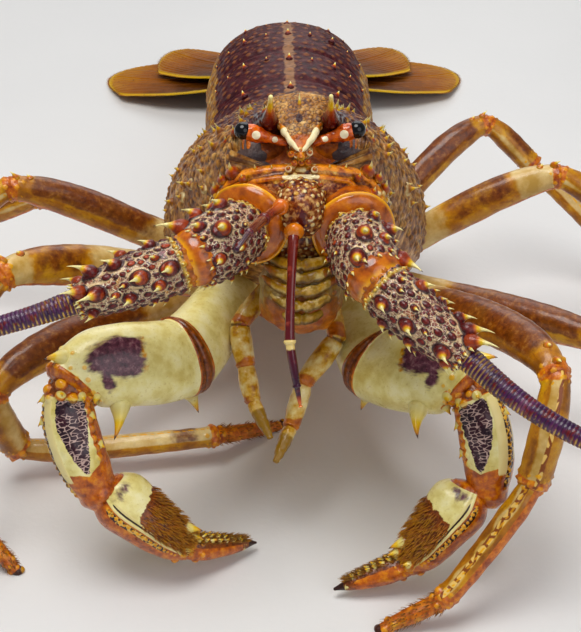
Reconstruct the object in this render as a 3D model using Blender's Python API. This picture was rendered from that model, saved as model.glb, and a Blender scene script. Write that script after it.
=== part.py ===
"""Spiny lobster, life size, standing on its legs and tail fan: one object for each plate and limb length.

The animal faces -Y, its left side is +X and the floor is z = 0. Sizes and places below are in
millimetres and become metres by MM. Every form is a surface swept along a guide line, with spines
set on it. The pieces keep GAP between them.
"""

import math
import random

import bmesh
import bpy
from mathutils import Vector

MM = 0.001
GAP = 0.3 * MM
ACROSS = Vector((1.0, 0.0, 0.0))

# Trunk, one row for each cross-section: distance behind the eyes, height of the back line, its fall
# in degrees, half width, depth from the back to the widest level, and from there to the belly.
CARAPACE = (
    (3, 127, 25, 21, 15, 20),
    (21, 119, 25, 30, 22, 27),
    (41, 110, 25, 37, 31, 28),
    (60, 101, 25, 42.5, 38, 29),
    (80, 91.5, 25, 45, 42, 29),
    (103, 81, 21, 43, 40, 25),
    (124, 72, 13, 36, 33, 18),
)
ABDOMEN = (
    (124.4, 70.5, 13, 32.5, 29, 15),
    (142, 69.0, 3, 32.5, 29, 16),
    (168, 69.5, 0, 32.5, 30, 16),
    (194, 67.5, 7, 32.5, 29, 15),
    (219, 59.5, 20, 31.5, 26, 14),
    (242, 48, 31, 29.5, 22, 12),
    (264, 33, 37, 25, 15, 9),
)
CHEST = (
    (47, 92, 25, 15, 40, 14),
    (62, 84, 25, 18, 44, 15),
    (80, 75, 25, 21, 46, 12),
    (100, 66, 21, 21, 40, 10),
    (117, 59, 15, 19, 32, 9),
)
GROOVE_AT, GROOVE_DEEP, GROOVE_WIDE = 0.46, 0.06, 0.035  # the cervical groove, as shares of the shell

# The head's own frame: its zero is the front of the back line, and the head is held up by HEAD_TILT.
HEAD_ZERO = Vector((0.0, 2.0, 128.0)) * MM
HEAD_TILT = math.radians(25)
BACKWARD = Vector((0.0, math.cos(HEAD_TILT), -math.sin(HEAD_TILT)))
HEAD_UP = Vector((0.0, math.sin(HEAD_TILT), math.cos(HEAD_TILT)))

EYE_RADIUS = 2.7
EYE_PLACE = (-2.0, 16.8, -6.2)  # behind the zero, across, above

# Limbs: the joints of each in millimetres, from the root outwards. Half width and half height of
# the sections of each length follow, from its near end to its far end.
ANTENNA_JOINTS = {
    "left": ((12.5, -1, 97), (15.5, -21, 99.5), (20, -42, 97), (45, -61, 82)),
    "right": ((-12.5, -1, 97), (-16, -20, 101.5), (-30.5, -37, 101), (-64, -47, 93)),
}
FLAGELLUM_WAY = {
    "left": ((45, -61, 82), (75, -83, 70), (150, -118, 56), (270, -138, 66), (398, -118, 112)),
    "right": ((-64, -47, 93), (-90, -54, 88), (-180, -74, 74), (-290, -84, 78), (-398, -62, 112)),
}
ANTENNA_CUP = ((9, 9), (11, 11), (11.8, 11.8), (11.6, 11.6))
ANTENNA_ARM = ((7.5, 7.5), (9, 9), (9.6, 9.4), (9.6, 9.4), (8, 8))
ANTENNA_WRIST = ((6.4, 6.4), (7.6, 7.4), (7.8, 7.6), (7.2, 7.0), (6.0, 5.8), (4.2, 4.2))
FLAGELLUM = ((3.7, 3.7), (2.9, 2.9), (2.3, 2.3), (1.6, 1.6), (0.9, 0.9), (0.35, 0.35))
FLAGELLUM_CUTS = (0.0, 0.42, 1.0)

ANTENNULE_JOINTS = {
    "left": ((-0.5, -12, 97), (-2.3, -28, 103.7), (-3.9, -49, 79.6), (-2, -54, 67.8), (-1, -56, 62)),
    "right": ((-1.5, -10, 104), (-6.2, -28, 112), (-10.9, -40, 115), (-15, -61, 123), (-18, -76, 127)),
}
ANTENNULE = (((1.8, 1.8), (1.5, 1.5), (2.1, 2.1)), ((1.7, 1.7), (1.3, 1.3), (1.5, 1.5)),
             ((1.3, 1.3), (1.3, 1.3), (1.0, 1.0)), ((0.9, 0.9), (0.7, 0.7), (0.35, 0.35)))

MAXILLIPED_JOINTS = {
    "left": ((7, -2, 70), (11, -17, 59.5), (1.3, -24, 48), (-3.2, -31.5, 36.5), (-8, -42, 31)),
    "right": ((-8, -2, 70), (-18.5, -13, 62), (-17, -21, 52.5), (-15, -28.5, 44.5), (-9.7, -38, 37)),
}
MAXILLIPED = (((3.2, 3.0), (3.4, 3.2), (3.2, 2.8)), ((3.2, 2.8), (4.2, 3.4), (3.4, 2.8)),
              ((2.8, 2.4), (3.6, 3.0), (2.8, 2.4)), ((2.3, 2.0), (2.6, 2.2), (1.9, 1.7), (0.8, 0.8)))

FRONT_LEG_JOINTS = {
    "left": (
        (19.5, 24, 57), (24.7, -21, 52.5), (49, -41.5, 57.5),
        (54, -57.5, 28), (31.3, -64.8, 9.8), (9, -69, 3.2),
    ),
    "right": (
        (-19.5, 24, 57), (-36.9, -24, 57.5), (-67.7, -43, 61.5),
        (-59.4, -57, 29.5), (-35.8, -57.6, 11.0), (-14.4, -47.3, 3.2),
    ),
}
FRONT_LEG = {
    "ischium": ((7, 8), (7.8, 9), (8.6, 11), (9.2, 12.2)),
    "merus": ((9.2, 12.2), (9.8, 12.6), (10, 12.6), (9.4, 11.6), (7, 8.4)),
    "carpus": ((5.5, 5.8), (7, 7.6), (7.4, 8), (6.8, 7), (4.8, 5)),
    "propodus": ((4.8, 6.0), (7.0, 9.2), (7.2, 8.4), (6.2, 7.0), (4.0, 4.4)),
    "dactyl": ((3.6, 3.8), (3.7, 3.9), (3, 3.3), (1.9, 2.2), (0.4, 0.4)),
}
HAND_START = {"left": (49.6, -56.0, 31.0), "right": (-58.4, -55.1, 32.4)}
HAND_BOW = 0.1  # the hand's middle line hardly bends, unlike those of the other lengths
WALKING_JOINTS = {
    "leg2_left": ((21, 42, 42), (73, -50, 67), (66.5, -64, 38.7), (40.5, -80.6, 9.6), (21.5, -83.5, 0)),
    "leg2_right": ((-21, 42, 42), (-90.3, -16, 82), (-109.3, -34, 60), (-99.4, -50, 14), (-87.4, -56, 0)),
    "leg3_left": ((21, 57, 35), (98.5, -2, 46), (120.5, -15, 37), (173, -46, 18), (185, -54, 0)),
    "leg3_right": ((-21, 57, 35), (-97, -13, 36), (-91, -10, 13), (-28, 0, 8.8), (-5, 17, 0)),
    "leg4_left": ((21, 71, 29), (93, 72, 66), (116, 66, 53), (157, 50, 18), (170, 45, 0)),
    "leg4_right": ((-21, 71, 29), (-97, 58, 71), (-120, 50, 59), (-157, 36, 18), (-169, 31, 0)),
    "leg5_left": ((20, 85, 25), (73, 118, 63), (91, 115, 47), (124, 100, 16), (134, 96, 0)),
    "leg5_right": ((-20, 85, 25), (-93, 94, 47), (-115, 98, 37), (-155, 106, 16), (-167, 108, 0)),
}
WALKING_LEG = (
    ((6.2, 6.2), (5.6, 6.2), (5.2, 6.2), (5.4, 6.6), (5, 6), (3.8, 4.2)),
    ((3.4, 3.8), (4.6, 5.0), (4.8, 5.2), (4.2, 4.4)),
    ((3.0, 3.2), (3.6, 4.0), (3.5, 3.8), (3.3, 3.5), (3.1, 3.2)),
    ((2.4, 2.6), (2.4, 2.8), (1.9, 2.2), (1.0, 1.1)),
)
LEG_SCALE = {"leg2": 1.0, "leg3": 1.0, "leg4": 0.92, "leg5": 0.82}

# Tail fan, for each blade: length, half width, angle from the midline, root, height of its end, and
# how far its inner and outer edges stand above its middle.
TELSON = {"length": 62, "wide": 20, "turn": 0, "root": (0, 257, 24), "end": 8, "edges": (2, 2)}
INNER_FAN = {"length": 65, "wide": 21, "turn": 40, "root": (12, 259, 20), "end": 6.5, "edges": (-2.5, 0.5)}
OUTER_FAN = {"length": 70, "wide": 21.5, "turn": 64, "root": (19, 263, 14), "end": 0.9, "edges": (0.8, 2.5)}
FAN_THICK = 2.6
FAN_RIBS = (-0.34, 0.0, 0.34)  # places of the raised ribs across a blade

COLOURS = {
    "shell": (0.23, 0.13, 0.07, 1.0),
    "antenna": (0.30, 0.13, 0.13, 1.0),
    "flagellum": (0.13, 0.06, 0.17, 1.0),
    "joint": (0.62, 0.26, 0.06, 1.0),
    "belly": (0.58, 0.47, 0.25, 1.0),
    "leg": (0.50, 0.26, 0.10, 1.0),
    "claw": (0.56, 0.38, 0.18, 1.0),
    "abdomen": (0.17, 0.08, 0.08, 1.0),
    "fan": (0.50, 0.24, 0.04, 1.0),
    "eye": (0.01, 0.01, 0.012, 1.0),
}


def at(place):
    """A place given in millimetres, as a vector in metres."""
    return Vector(place) * MM


def head_at(behind, across, above):
    """A place in the head's own frame, in millimetres, as a vector in metres."""
    return HEAD_ZERO + (BACKWARD * behind + ACROSS * across + HEAD_UP * above) * MM


def smooth(rows, t):
    """The row at t, from 0 at the first to 1 at the last, on a smooth curve through them all."""
    place = min(max(t, 0.0), 1.0) * (len(rows) - 1)
    i = min(int(place), len(rows) - 2)
    f = place - i
    near = [rows[min(max(i + k, 0), len(rows) - 1)] for k in (-1, 0, 1, 2)]
    return [
        0.5 * (2 * b + (c - a) * f + (2 * a - 5 * b + 4 * c - d) * f ** 2 + (3 * b - 3 * c + d - a) * f ** 3)
        for a, b, c, d in zip(*near)
    ]


def rounded(value, power):
    """A cosine or sine bent so that the section runs from an ellipse (power 2) to a box."""
    return math.copysign(abs(value) ** (2.0 / power), value)


def trunk(rows, swell=None, top=2.1, bottom=2.4):
    """The surface of a trunk plate: point(t, q), with t along it and q round it, up at a quarter turn."""

    def point(t, q):
        behind, height, fall, half, above, below = smooth(rows, t)
        fall = math.radians(fall)
        up = Vector((0.0, math.sin(fall), math.cos(fall)))
        size = swell(t, q) if swell else 1.0
        c, s = math.cos(q), math.sin(q)
        power = top if s > 0 else bottom
        depth = (above if s > 0 else below) * size
        centre = Vector((0.0, behind, height)) - up * above
        return (centre + ACROSS * half * size * rounded(c, power) + up * depth * rounded(s, power)) * MM

    return point


def bend_line(joints):
    """Tangents of a limb at its joints: each halves the bend there."""
    steps = [(b - a).normalized() for a, b in zip(joints, joints[1:])]
    return [steps[0]] + [(a + b).normalized() for a, b in zip(steps, steps[1:])] + [steps[-1]]


def limb(joints, hinge, k, sizes, power=2.2, bow=0.2, scale=1.0):
    """The surface of length k of a jointed limb: point(t, q), with q = 0 towards the hinge side."""
    places = [at(j) for j in joints]
    turns = bend_line(places)
    a, b = places[k], places[k + 1]
    reach = (b - a).length * bow
    handles = (a, a + turns[k] * reach, b - turns[k + 1] * reach, b)

    def point(t, q):
        u = 1 - t
        weights = (u ** 3, 3 * u * u * t, 3 * u * t * t, t ** 3)
        centre = sum((h * w for h, w in zip(handles, weights)), Vector())
        slopes = (-3 * u * u, 3 * u * u - 6 * u * t, 6 * u * t - 3 * t * t, 3 * t * t)
        along = sum((h * w for h, w in zip(handles, slopes)), Vector()).normalized()
        side = (hinge - along * hinge.dot(along)).normalized()
        out = side.cross(along)
        wide, high = smooth(sizes, t)
        return (centre + side * wide * scale * MM * rounded(math.cos(q), power)
                + out * high * scale * MM * rounded(math.sin(q), power))

    return point


def hinge_of(joints):
    """The axis that a limb bends about, from its first, middle and last joints."""
    a, b, c = at(joints[0]), at(joints[len(joints) // 2]), at(joints[-1])
    return (b - a).cross(c - b).normalized()


def normal_at(point, t, q):
    """The outward normal of a surface, and the direction along it."""
    step = 0.01
    along = point(min(t + step, 1), q) - point(max(t - step, 0), q)
    around = point(t, q + step) - point(t, q - step)
    middle = (point(t, 0) + point(t, math.pi)) / 2
    normal = along.cross(around).normalized()
    if normal.dot(point(t, q) - middle) < 0:
        normal.negate()
    return normal, along.normalized()


def new_object(name, bm):
    """An object made from a bmesh, with its faces turned outwards."""
    bmesh.ops.recalc_face_normals(bm, faces=bm.faces)
    mesh = bpy.data.meshes.new(name)
    bm.to_mesh(mesh)
    bm.free()
    made = bpy.data.objects.new(name, mesh)
    bpy.context.scene.collection.objects.link(made)
    return made


def loft(name, rings):
    """A closed body through rings of points, with a flat cap at each end."""
    bm = bmesh.new()
    loops = [[bm.verts.new(p) for p in ring] for ring in rings]
    for low, high in zip(loops, loops[1:]):
        for i in range(len(low)):
            j = (i + 1) % len(low)
            bm.faces.new((low[i], low[j], high[j], high[i]))
    bm.faces.new(reversed(loops[0]))
    bm.faces.new(loops[-1])
    bmesh.ops.triangulate(bm, faces=bm.faces)
    return new_object(name, bm)


def turn_steps(sides):
    return [2 * math.pi * (i + 0.5) / sides for i in range(sides)]


def swept(name, point, places, sides):
    """A body swept along a surface at the given places along it."""
    return loft(name, [[point(t, q) for q in turn_steps(sides)] for t in places])


def spaced(count, start=0.0, end=1.0):
    return [start + (end - start) * i / (count - 1) for i in range(count)]


def trimmed(point, count, start_gap=0.5, end_gap=0.5):
    """Places along a surface that leave part of GAP free at each end."""
    length = (point(1, 0) - point(0, 0)).length + (point(1, math.pi) - point(0, math.pi)).length
    share = GAP / (length / 2)
    return spaced(count, start_gap * share, 1 - end_gap * share)


def spike(root, way, length, radius, sides=4, sunk=0.4):
    """One spine: a pointed cone along way, with a share of its length sunk below its root."""
    bm = bmesh.new()
    deep = length * sunk
    bmesh.ops.create_cone(
        bm, cap_ends=True, segments=sides, radius1=radius * (1 + sunk * 0.8) * MM,
        radius2=0, depth=(length + deep) * MM,
    )
    turn = Vector((0, 0, 1)).rotation_difference(way)
    middle = root + way * (length - deep) / 2 * MM
    for v in bm.verts:
        v.co = turn @ v.co + middle
    return new_object("spike", bm)


def spine_on(point, t, q, length, radius, lean=0.5, sides=4, forward=-1):
    """A spine set on a surface, leaning along it."""
    normal, along = normal_at(point, t, q)
    way = (normal + along * lean * forward).normalized()
    return spike(point(t, q), way, length, radius, sides)


def blade(root, tip, flat_way, wide, thick, rings=4, sides=8, bend=None, taper=0.75):
    """A flattened horn or lobe from root to tip, widest along flat_way; taper over 1 hollows its flanks."""
    along = (tip - root).normalized()
    side = (flat_way - along * flat_way.dot(along)).normalized()
    out = along.cross(side)
    hump = bend if bend else Vector()
    sections = []
    for t in spaced(rings):
        centre = root.lerp(tip, t) + hump * math.sin(math.pi * t)
        size = (1 - t) ** taper * 0.94 + 0.06
        sections.append([
            centre + side * wide * MM * size * math.cos(q) + out * thick * MM * size * math.sin(q)
            for q in turn_steps(sides)
        ])
    return loft("blade", sections)


def ball(name, centre, radius, segments=12, rings=8):
    bm = bmesh.new()
    bmesh.ops.create_uvsphere(bm, u_segments=segments, v_segments=rings, radius=radius * MM)
    for v in bm.verts:
        v.co += centre
    return new_object(name, bm)


def keep_largest(made):
    """Leaves only the largest closed surface of a mesh, which drops scraps and fills sealed hollows."""
    bm = bmesh.new()
    bm.from_mesh(made.data)
    unseen, islands = set(bm.verts), []
    while unseen:
        group, edge = set(), [unseen.pop()]
        while edge:
            v = edge.pop()
            group.add(v)
            for e in v.link_edges:
                other = e.other_vert(v)
                if other in unseen:
                    unseen.discard(other)
                    edge.append(other)
        islands.append(group)
    islands.sort(key=lambda g: extent_of(g))
    loose = [v for g in islands[:-1] for v in g]
    bmesh.ops.delete(bm, geom=loose, context="VERTS")
    bmesh.ops.triangulate(bm, faces=bm.faces)
    bm.to_mesh(made.data)
    bm.free()


def extent_of(group):
    low = [min(v.co[i] for v in group) for i in range(3)]
    high = [max(v.co[i] for v in group) for i in range(3)]
    return math.dist(low, high)


def boolean(made, others, operation):
    """One Boolean of made with all the other closed meshes, applied; the others are then removed."""
    group = bpy.data.collections.new("operands")
    for other in others:
        group.objects.link(other)
    modifier = made.modifiers.new("boolean", "BOOLEAN")
    modifier.operation = operation
    modifier.solver = "EXACT"
    modifier.operand_type = "COLLECTION"
    modifier.collection = group
    graph = bpy.context.evaluated_depsgraph_get()
    result = bpy.data.meshes.new_from_object(made.evaluated_get(graph))
    made.modifiers.clear()
    old, made.data = made.data, result
    bpy.data.meshes.remove(old)
    for other in others:
        bpy.data.objects.remove(other)
    bpy.data.collections.remove(group)
    keep_largest(made)
    return made


def join(made, pieces):
    return boolean(made, pieces, "UNION") if pieces else made


def grown(made, by=GAP):
    """A copy of a body a little larger all over, to cut its neighbours with."""
    bm = bmesh.new()
    bm.from_mesh(made.data)
    bm.normal_update()
    moves = [v.normal * by * min(v.calc_shell_factor(), 2.0) for v in bm.verts]
    for v, move in zip(bm.verts, moves):
        v.co += move
    return new_object("grown", bm)


def clear_of(made, *neighbours):
    """Cuts a body clear of its neighbours by about GAP."""
    return boolean(made, [grown(n) for n in neighbours], "DIFFERENCE")


def finish(made, name, colour, sharp=35):
    """Names a finished piece, shades it and gives it its own material."""
    made.name = name
    made.data.name = name
    made.data.shade_smooth()
    made.data.set_sharp_from_angle(angle=math.radians(sharp))
    material = bpy.data.materials.new(name)
    material.use_nodes = True
    shader = material.node_tree.nodes["Principled BSDF"]
    shader.inputs["Base Color"].default_value = COLOURS[colour]
    shader.inputs["Roughness"].default_value = 0.25 if colour == "eye" else 0.45
    shader.inputs["Metallic"].default_value = 0.0
    made.data.materials.clear()
    made.data.materials.append(material)
    return made


def mirrored_sides():
    return (("left", 1), ("right", -1))


def shell_swell(t, q):
    """The cervical groove and the low keels of the carapace, as a factor on its section."""
    back = max(math.sin(q), 0.0)
    groove = math.exp(-(((t - GROOVE_AT + 0.12 * (1 - back)) / GROOVE_WIDE) ** 2))
    return 1 - GROOVE_DEEP * groove * (0.3 + 0.7 * back)


def shell_spines(seed=4):
    """Places, lengths and radii of the carapace's spines: rows that spread out from the horns."""
    draw = random.Random(seed)
    spines = []
    for row, degrees in enumerate((90, 68, 112, 48, 132, 28, 152, 10, 170)):
        count = (5, 5, 5, 5, 5, 4, 4, 3, 3)[row]
        for i in range(count):
            t = 0.10 + 0.84 * (i + draw.uniform(-0.2, 0.2) + 0.5) / count
            q = math.radians(degrees + draw.uniform(-5, 5))
            length = (6.2 - 3.2 * t) * draw.uniform(0.8, 1.15)
            spines.append((t, q, length, 0.9 + 0.16 * length))
    return spines


def make_carapace(chest):
    point = trunk(CARAPACE, shell_swell)
    places = [0, 0.06, 0.15, 0.25, 0.34, 0.41, GROOVE_AT, 0.52, 0.6, 0.7, 0.8, 0.9, 0.96, 1]
    made = swept("carapace", point, places, 24)
    clear_of(made, chest)
    orbits = []
    for _, side in mirrored_sides():
        orbit = ball("orbit", Vector(), 1, 10, 6)
        for v in orbit.data.vertices:
            x, y, z = v.co / MM
            v.co = head_at(1 + 5 * y, side * 13 + 10 * x, -10 + 5.5 * z)
        orbits.append(orbit)
    boolean(made, orbits, "DIFFERENCE")
    pieces = [spine_on(point, t, q, length, radius, 0.8) for t, q, length, radius in shell_spines()]
    for _, side in mirrored_sides():
        root, tip = head_at(8, side * 9.5, -5.5), head_at(-17, side * 8.6, 4)
        pieces.append(blade(root, tip, ACROSS, 7, 5.5, 6, 8, HEAD_UP * -1.2 * MM, 1.5))
        pieces.append(blade(head_at(5, side * 9, -6), head_at(-8, side * 1.0, -11), HEAD_UP, 3.0, 2.2, 4, 6))
    pieces.append(blade(head_at(8, 0, -8), head_at(-10.5, 0, -11.5), ACROSS, 3.6, 3.0, 4, 6))
    pieces.append(spike(head_at(15, 0, -2.5), (HEAD_UP - BACKWARD * 0.5).normalized(), 7, 2.0))
    return join(made, pieces)


def make_somite(k):
    """Somite k of the abdomen, from 1: a hoop that flares backwards over the next, with its side points."""
    first, last = (k - 1) / 6, k / 6

    def hoop(t, q):
        share = (t - first) * 6
        return 0.95 + 0.075 * math.sin(min(max(share, 0), 1) * math.pi / 2)

    point = trunk(ABDOMEN, hoop, 2.1, 3.0)
    length = (point(last, math.pi / 2) - point(first, math.pi / 2)).length
    trim = GAP / 2 / length * (last - first)
    made = swept(f"abdomen_{k}", point, spaced(4, first + trim, last - trim), 22)
    pieces = []
    for _, side in mirrored_sides():
        angle = math.radians(-14) if side > 0 else math.radians(194)
        if k > 1:
            root = point(first + 0.40 / 6, angle) - ACROSS * side * 3 * MM
            drop = (13.5, 15, 15, 13, 9)[k - 2]
            tip = root + Vector((side * 2.5, 7.5, -drop)) * MM
            pieces.append(blade(root + Vector((0, -1, 5)) * MM, tip, BACKWARD, 8, 2.8, 3, 6))
        if 2 <= k <= 5:
            hip = point(first + 0.5 / 6, math.radians(270)) + ACROSS * side * 15 * MM
            end = hip + Vector((side * 3, 9, -9 - 0.5 * k)) * MM
            pieces.append(blade(hip + Vector((0, 0, 3)) * MM, end, ACROSS, 8, 1.4, 3, 6))
    for degrees in (60, 90, 120):
        pieces.append(spine_on(point, last - 0.30 / 6, math.radians(degrees), 3.0, 1.7, 0.9, 3, 1))
    return join(made, pieces)


def fan_point(blade_size, side):
    """The middle sheet of a tail fan blade: place(t, w), with w from -1 at its inner edge to 1."""
    turn = math.radians(blade_size["turn"]) * side
    way = Vector((math.sin(turn), math.cos(turn), 0))
    across = Vector((math.cos(turn), -math.sin(turn), 0)) * side
    x, y, z = blade_size["root"]
    length, wide, end = blade_size["length"], blade_size["wide"], blade_size["end"]

    def place(t, w):
        width = wide * (0.5 + 0.5 * math.sin(min(t / 0.55, 1) * math.pi / 2))
        width *= 1 - 3 * max(t - 0.8, 0) ** 2
        reach = length * t * (1 - 0.2 * (w * t) ** 2)
        edge = blade_size["edges"][w > 0] * w * w * math.sin(min(t * 1.6, 1) * math.pi / 2)
        middle = end + (z - end) * (1 - t) ** 1.5
        flat = at((x * side, y, 0)) + (way * reach + across * width * w) * MM
        return flat + Vector((0, 0, (middle + edge) * MM))

    return place


def make_fan_blade(name, blade_size, side, rows=8, columns=7):
    """A tail fan blade: a plate with a rounded end, thinner towards its edge, with raised ribs."""
    place = fan_point(blade_size, side)
    bm = bmesh.new()
    sheets = []
    for face in (1, -1):
        sheet = []
        for i in range(rows):
            t = i / (rows - 1)
            line = []
            for j in range(columns):
                w = -1 + 2 * j / (columns - 1)
                edge = 1 - 0.5 * w * w - 0.25 * t
                rib = 0.5 * (1 - 0.6 * t) if face > 0 and min(abs(w - r) for r in FAN_RIBS) < 0.05 else 0
                p = place(t, w)
                p.z += face * (FAN_THICK / 2 * edge + rib) * MM
                line.append(bm.verts.new(p))
            sheet.append(line)
        sheets.append(sheet)
    top, under = sheets
    for sheet in sheets:
        for low, high in zip(sheet, sheet[1:]):
            for j in range(columns - 1):
                bm.faces.new((low[j], low[j + 1], high[j + 1]))
                bm.faces.new((low[j], high[j + 1], high[j]))
    rim_top = top[0] + [r[-1] for r in top[1:]] + top[-1][-2::-1] + [r[0] for r in top[-2:0:-1]]
    rim_under = under[0] + [r[-1] for r in under[1:]] + under[-1][-2::-1] + [r[0] for r in under[-2:0:-1]]
    for i in range(len(rim_top)):
        j = (i + 1) % len(rim_top)
        bm.faces.new((rim_top[i], rim_top[j], rim_under[j], rim_under[i]))
    bmesh.ops.triangulate(bm, faces=bm.faces)
    return new_object(name, bm)


def floor_cut(made, height=0.0):
    """Cuts a body flat at a height above the floor."""
    bm = bmesh.new()
    bmesh.ops.create_cube(bm, size=1.0)
    for v in bm.verts:
        v.co = v.co + Vector((0, 0, -0.5 + height * MM))
    return boolean(made, [new_object("floor", bm)], "DIFFERENCE")


def make_eyestalk(side):
    """An eyestalk: a short stem from beside the beak out to the eye, swelling at its end."""
    near = head_at(-1.0, side * 4.0, -8.5)
    far = head_at(EYE_PLACE[0], side * (EYE_PLACE[1] - 0.6), EYE_PLACE[2])
    along = (far - near).normalized()
    up = (HEAD_UP - along * HEAD_UP.dot(along)).normalized()
    front = along.cross(up)
    rings = []
    for t, size in ((0, 2.0), (0.3, 2.0), (0.6, 2.7), (0.85, 3.3), (1, 2.9)):
        centre = near.lerp(far, t)
        rings.append([centre + (up * math.sin(q) + front * math.cos(q)) * size * MM for q in turn_steps(7)])
    return loft("stalk", rings)


def make_head():
    """The block under the eyes that carries the antennae, with the raised rim along its top edge."""
    sizes = ((7, 27.5, -18, 15), (1.7, 27, -16.8, 15), (-2, 27, -16.5, 15), (-5.5, 26, -17, 14.5),
             (-8, 21.5, -19.5, 12), (-9.5, 15.5, -21.5, 9))
    rings = []
    for behind, half, top, depth in sizes:
        sweep = 5 if behind < 5 else 0
        rings.append([
            head_at(behind + sweep * math.cos(q) ** 2 + 0.16 * depth * (1 - math.sin(q)),
                    half * rounded(math.cos(q), 2.6),
                    top - depth + depth * rounded(math.sin(q), 2.6))
            for q in turn_steps(20)
        ])
    made = loft("head", rings)
    pieces = []
    for _, side in mirrored_sides():
        for behind, across, above, length in ((-2.5, 20, -18, 4.5), (-4, 13, -17.5, 3), (2, 25, -24, 4)):
            root = head_at(behind, side * across, above)
            way = (HEAD_UP * 0.6 - BACKWARD + ACROSS * side * 0.5).normalized()
            pieces.append(spike(root, way, length, 1.5))
    return join(made, pieces)


def make_mouth(carapace, head, chest):
    """The mouth field between the head and the first legs: a rounded block with cross ridges."""
    sizes = ((12, 9, -40, 12), (7, 12, -42, 12), (1, 12.5, -43, 12), (-5, 11, -44, 10), (-8, 8, -45, 7))
    rings = []
    for behind, half, top, depth in sizes:
        rings.append([
            head_at(behind, half * rounded(math.cos(q), 2.4), top - depth + depth * rounded(math.sin(q), 2.4))
            for q in turn_steps(16)
        ])
    made = loft("mouth", rings)
    pieces = []
    for i in range(4):
        above, half = -47.5 - 4.2 * i, 9.5 - 1.2 * i
        for _, side in mirrored_sides():
            root = head_at(-4 + 1.2 * i, side * half, above)
            tip = head_at(-9.0 + 2 * i, side * 0.8, above - 1.5)
            pieces.append(blade(root, tip, HEAD_UP, 2.0, 2.6, 3, 5))
    join(made, pieces)
    return clear_of(made, carapace, head, chest)


def antenna_spines(length_name, seed):
    """Places of the spines of an antenna length: rings of strong ones and smaller ones between."""
    draw = random.Random(seed)
    rings, round_count, size = {"arm": (3, 6, 4.2), "wrist": (4, 5, 4.6)}[length_name]
    spines = []
    for ring in range(rings):
        for i in range(round_count):
            t = 0.16 + 0.74 * (ring + 0.5 * (i % 2)) / (rings - 0.5)
            q = 2 * math.pi * (i + 0.25 * ring) / round_count + draw.uniform(-0.12, 0.12)
            length = size * draw.uniform(0.65, 1.0) * (0.8 + 0.6 * t)
            spines.append((t, q, length, 0.8 + 0.26 * length))
    return spines


def make_antenna(side_name, side, head, carapace, mouth, whip):
    joints = ANTENNA_JOINTS[side_name]
    hinge = HEAD_UP
    cup = limb(joints, hinge, 0, ANTENNA_CUP, 2.0)
    made = swept("cup", cup, trimmed(cup, 5), 14)
    clear_of(made, head, carapace, mouth)
    cup_node = finish(made, f"antenna_cup_{side_name}", "joint")
    arm = limb(joints, hinge, 1, ANTENNA_ARM, 2.1)
    wrist = limb(joints, hinge, 2, ANTENNA_WRIST, 2.1)
    for label, point, seed, sides in (("arm", arm, 11, 12), ("wrist", wrist, 23, 12)):
        made = swept(label, point, trimmed(point, 7), sides)
        spines = [
            spine_on(point, t, q, length, radius, 0.7, 4, 1)
            for t, q, length, radius in antenna_spines(label, seed + side)
        ]
        join(made, spines)
        clear_of(made, whip if label == "wrist" else cup_node)
        finish(made, f"antenna_{label}_{side_name}", "antenna")
    return cup_node


def flagellum_point(way):
    """The surface of a whip through its own points, thinning to its tip."""

    def point(t, q):
        centre = Vector(smooth(way, t)) * MM
        along = (Vector(smooth(way, min(t + 0.01, 1))) - Vector(smooth(way, max(t - 0.01, 0)))).normalized()
        side = along.cross(Vector((0, 0, 1))).normalized()
        out = side.cross(along)
        wide, high = smooth(FLAGELLUM, t)
        return centre + (side * wide * math.cos(q) + out * high * math.sin(q)) * MM

    return point


def make_flagellum(side_name):
    point = flagellum_point(FLAGELLUM_WAY[side_name])
    for label, start, end in (("near", *FLAGELLUM_CUTS[:2]), ("far", *FLAGELLUM_CUTS[1:])):
        made = swept("whip", point, spaced(12, start + 0.0006, end - 0.0006 * (end < 1)), 6)
        finish(made, f"flagellum_{label}_{side_name}", "flagellum")
    return bpy.data.objects[f"flagellum_near_{side_name}"]


def chain(name, joints, hinge, lengths, counts, sides, scale=1.0, power=2.2, start=0):
    """One body along several lengths of a limb, with a step in to the next length at each joint."""
    rings = []
    for k, (sizes, count) in enumerate(zip(lengths, counts)):
        point = limb(joints, hinge, start + k, sizes, power, 0.14, scale)
        places = spaced(count)
        places[0] = GAP / (at(joints[start + k]) - at(joints[start + k + 1])).length
        if k == 0:
            places[0] /= 2
        rings += [[point(t, q) for q in turn_steps(sides)] for t in places]
    return loft(name, rings)


def make_front_leg(side_name, side, blockers):
    joints = FRONT_LEG_JOINTS[side_name]
    hinge = hinge_of(joints[1:])
    for k, label in enumerate(FRONT_LEG):
        point = limb(joints, hinge, k, FRONT_LEG[label], 2.2, 0.26)
        if label == "propodus":
            hand = joints[:k] + (HAND_START[side_name],) + joints[k + 1:]
            point = limb(hand, hinge, k, FRONT_LEG[label], 2.2, HAND_BOW)
        made = swept(label, point, trimmed(point, 6), 11)
        join(made, front_leg_spines(label, point, side))
        clear_of(made, *blockers)
        if label == "dactyl":
            floor_cut(made)
        blockers = [finish(made, f"leg1_{label}_{side_name}", "claw")]


def lowest_turn(point, t):
    """The angle round a surface that faces the floor."""
    return min(turn_steps(36), key=lambda q: point(t, q).z)


def inner_turn(point, t, side):
    """The angle round a surface that faces the midline."""
    return min(turn_steps(36), key=lambda q: point(t, q).x * side)


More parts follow.
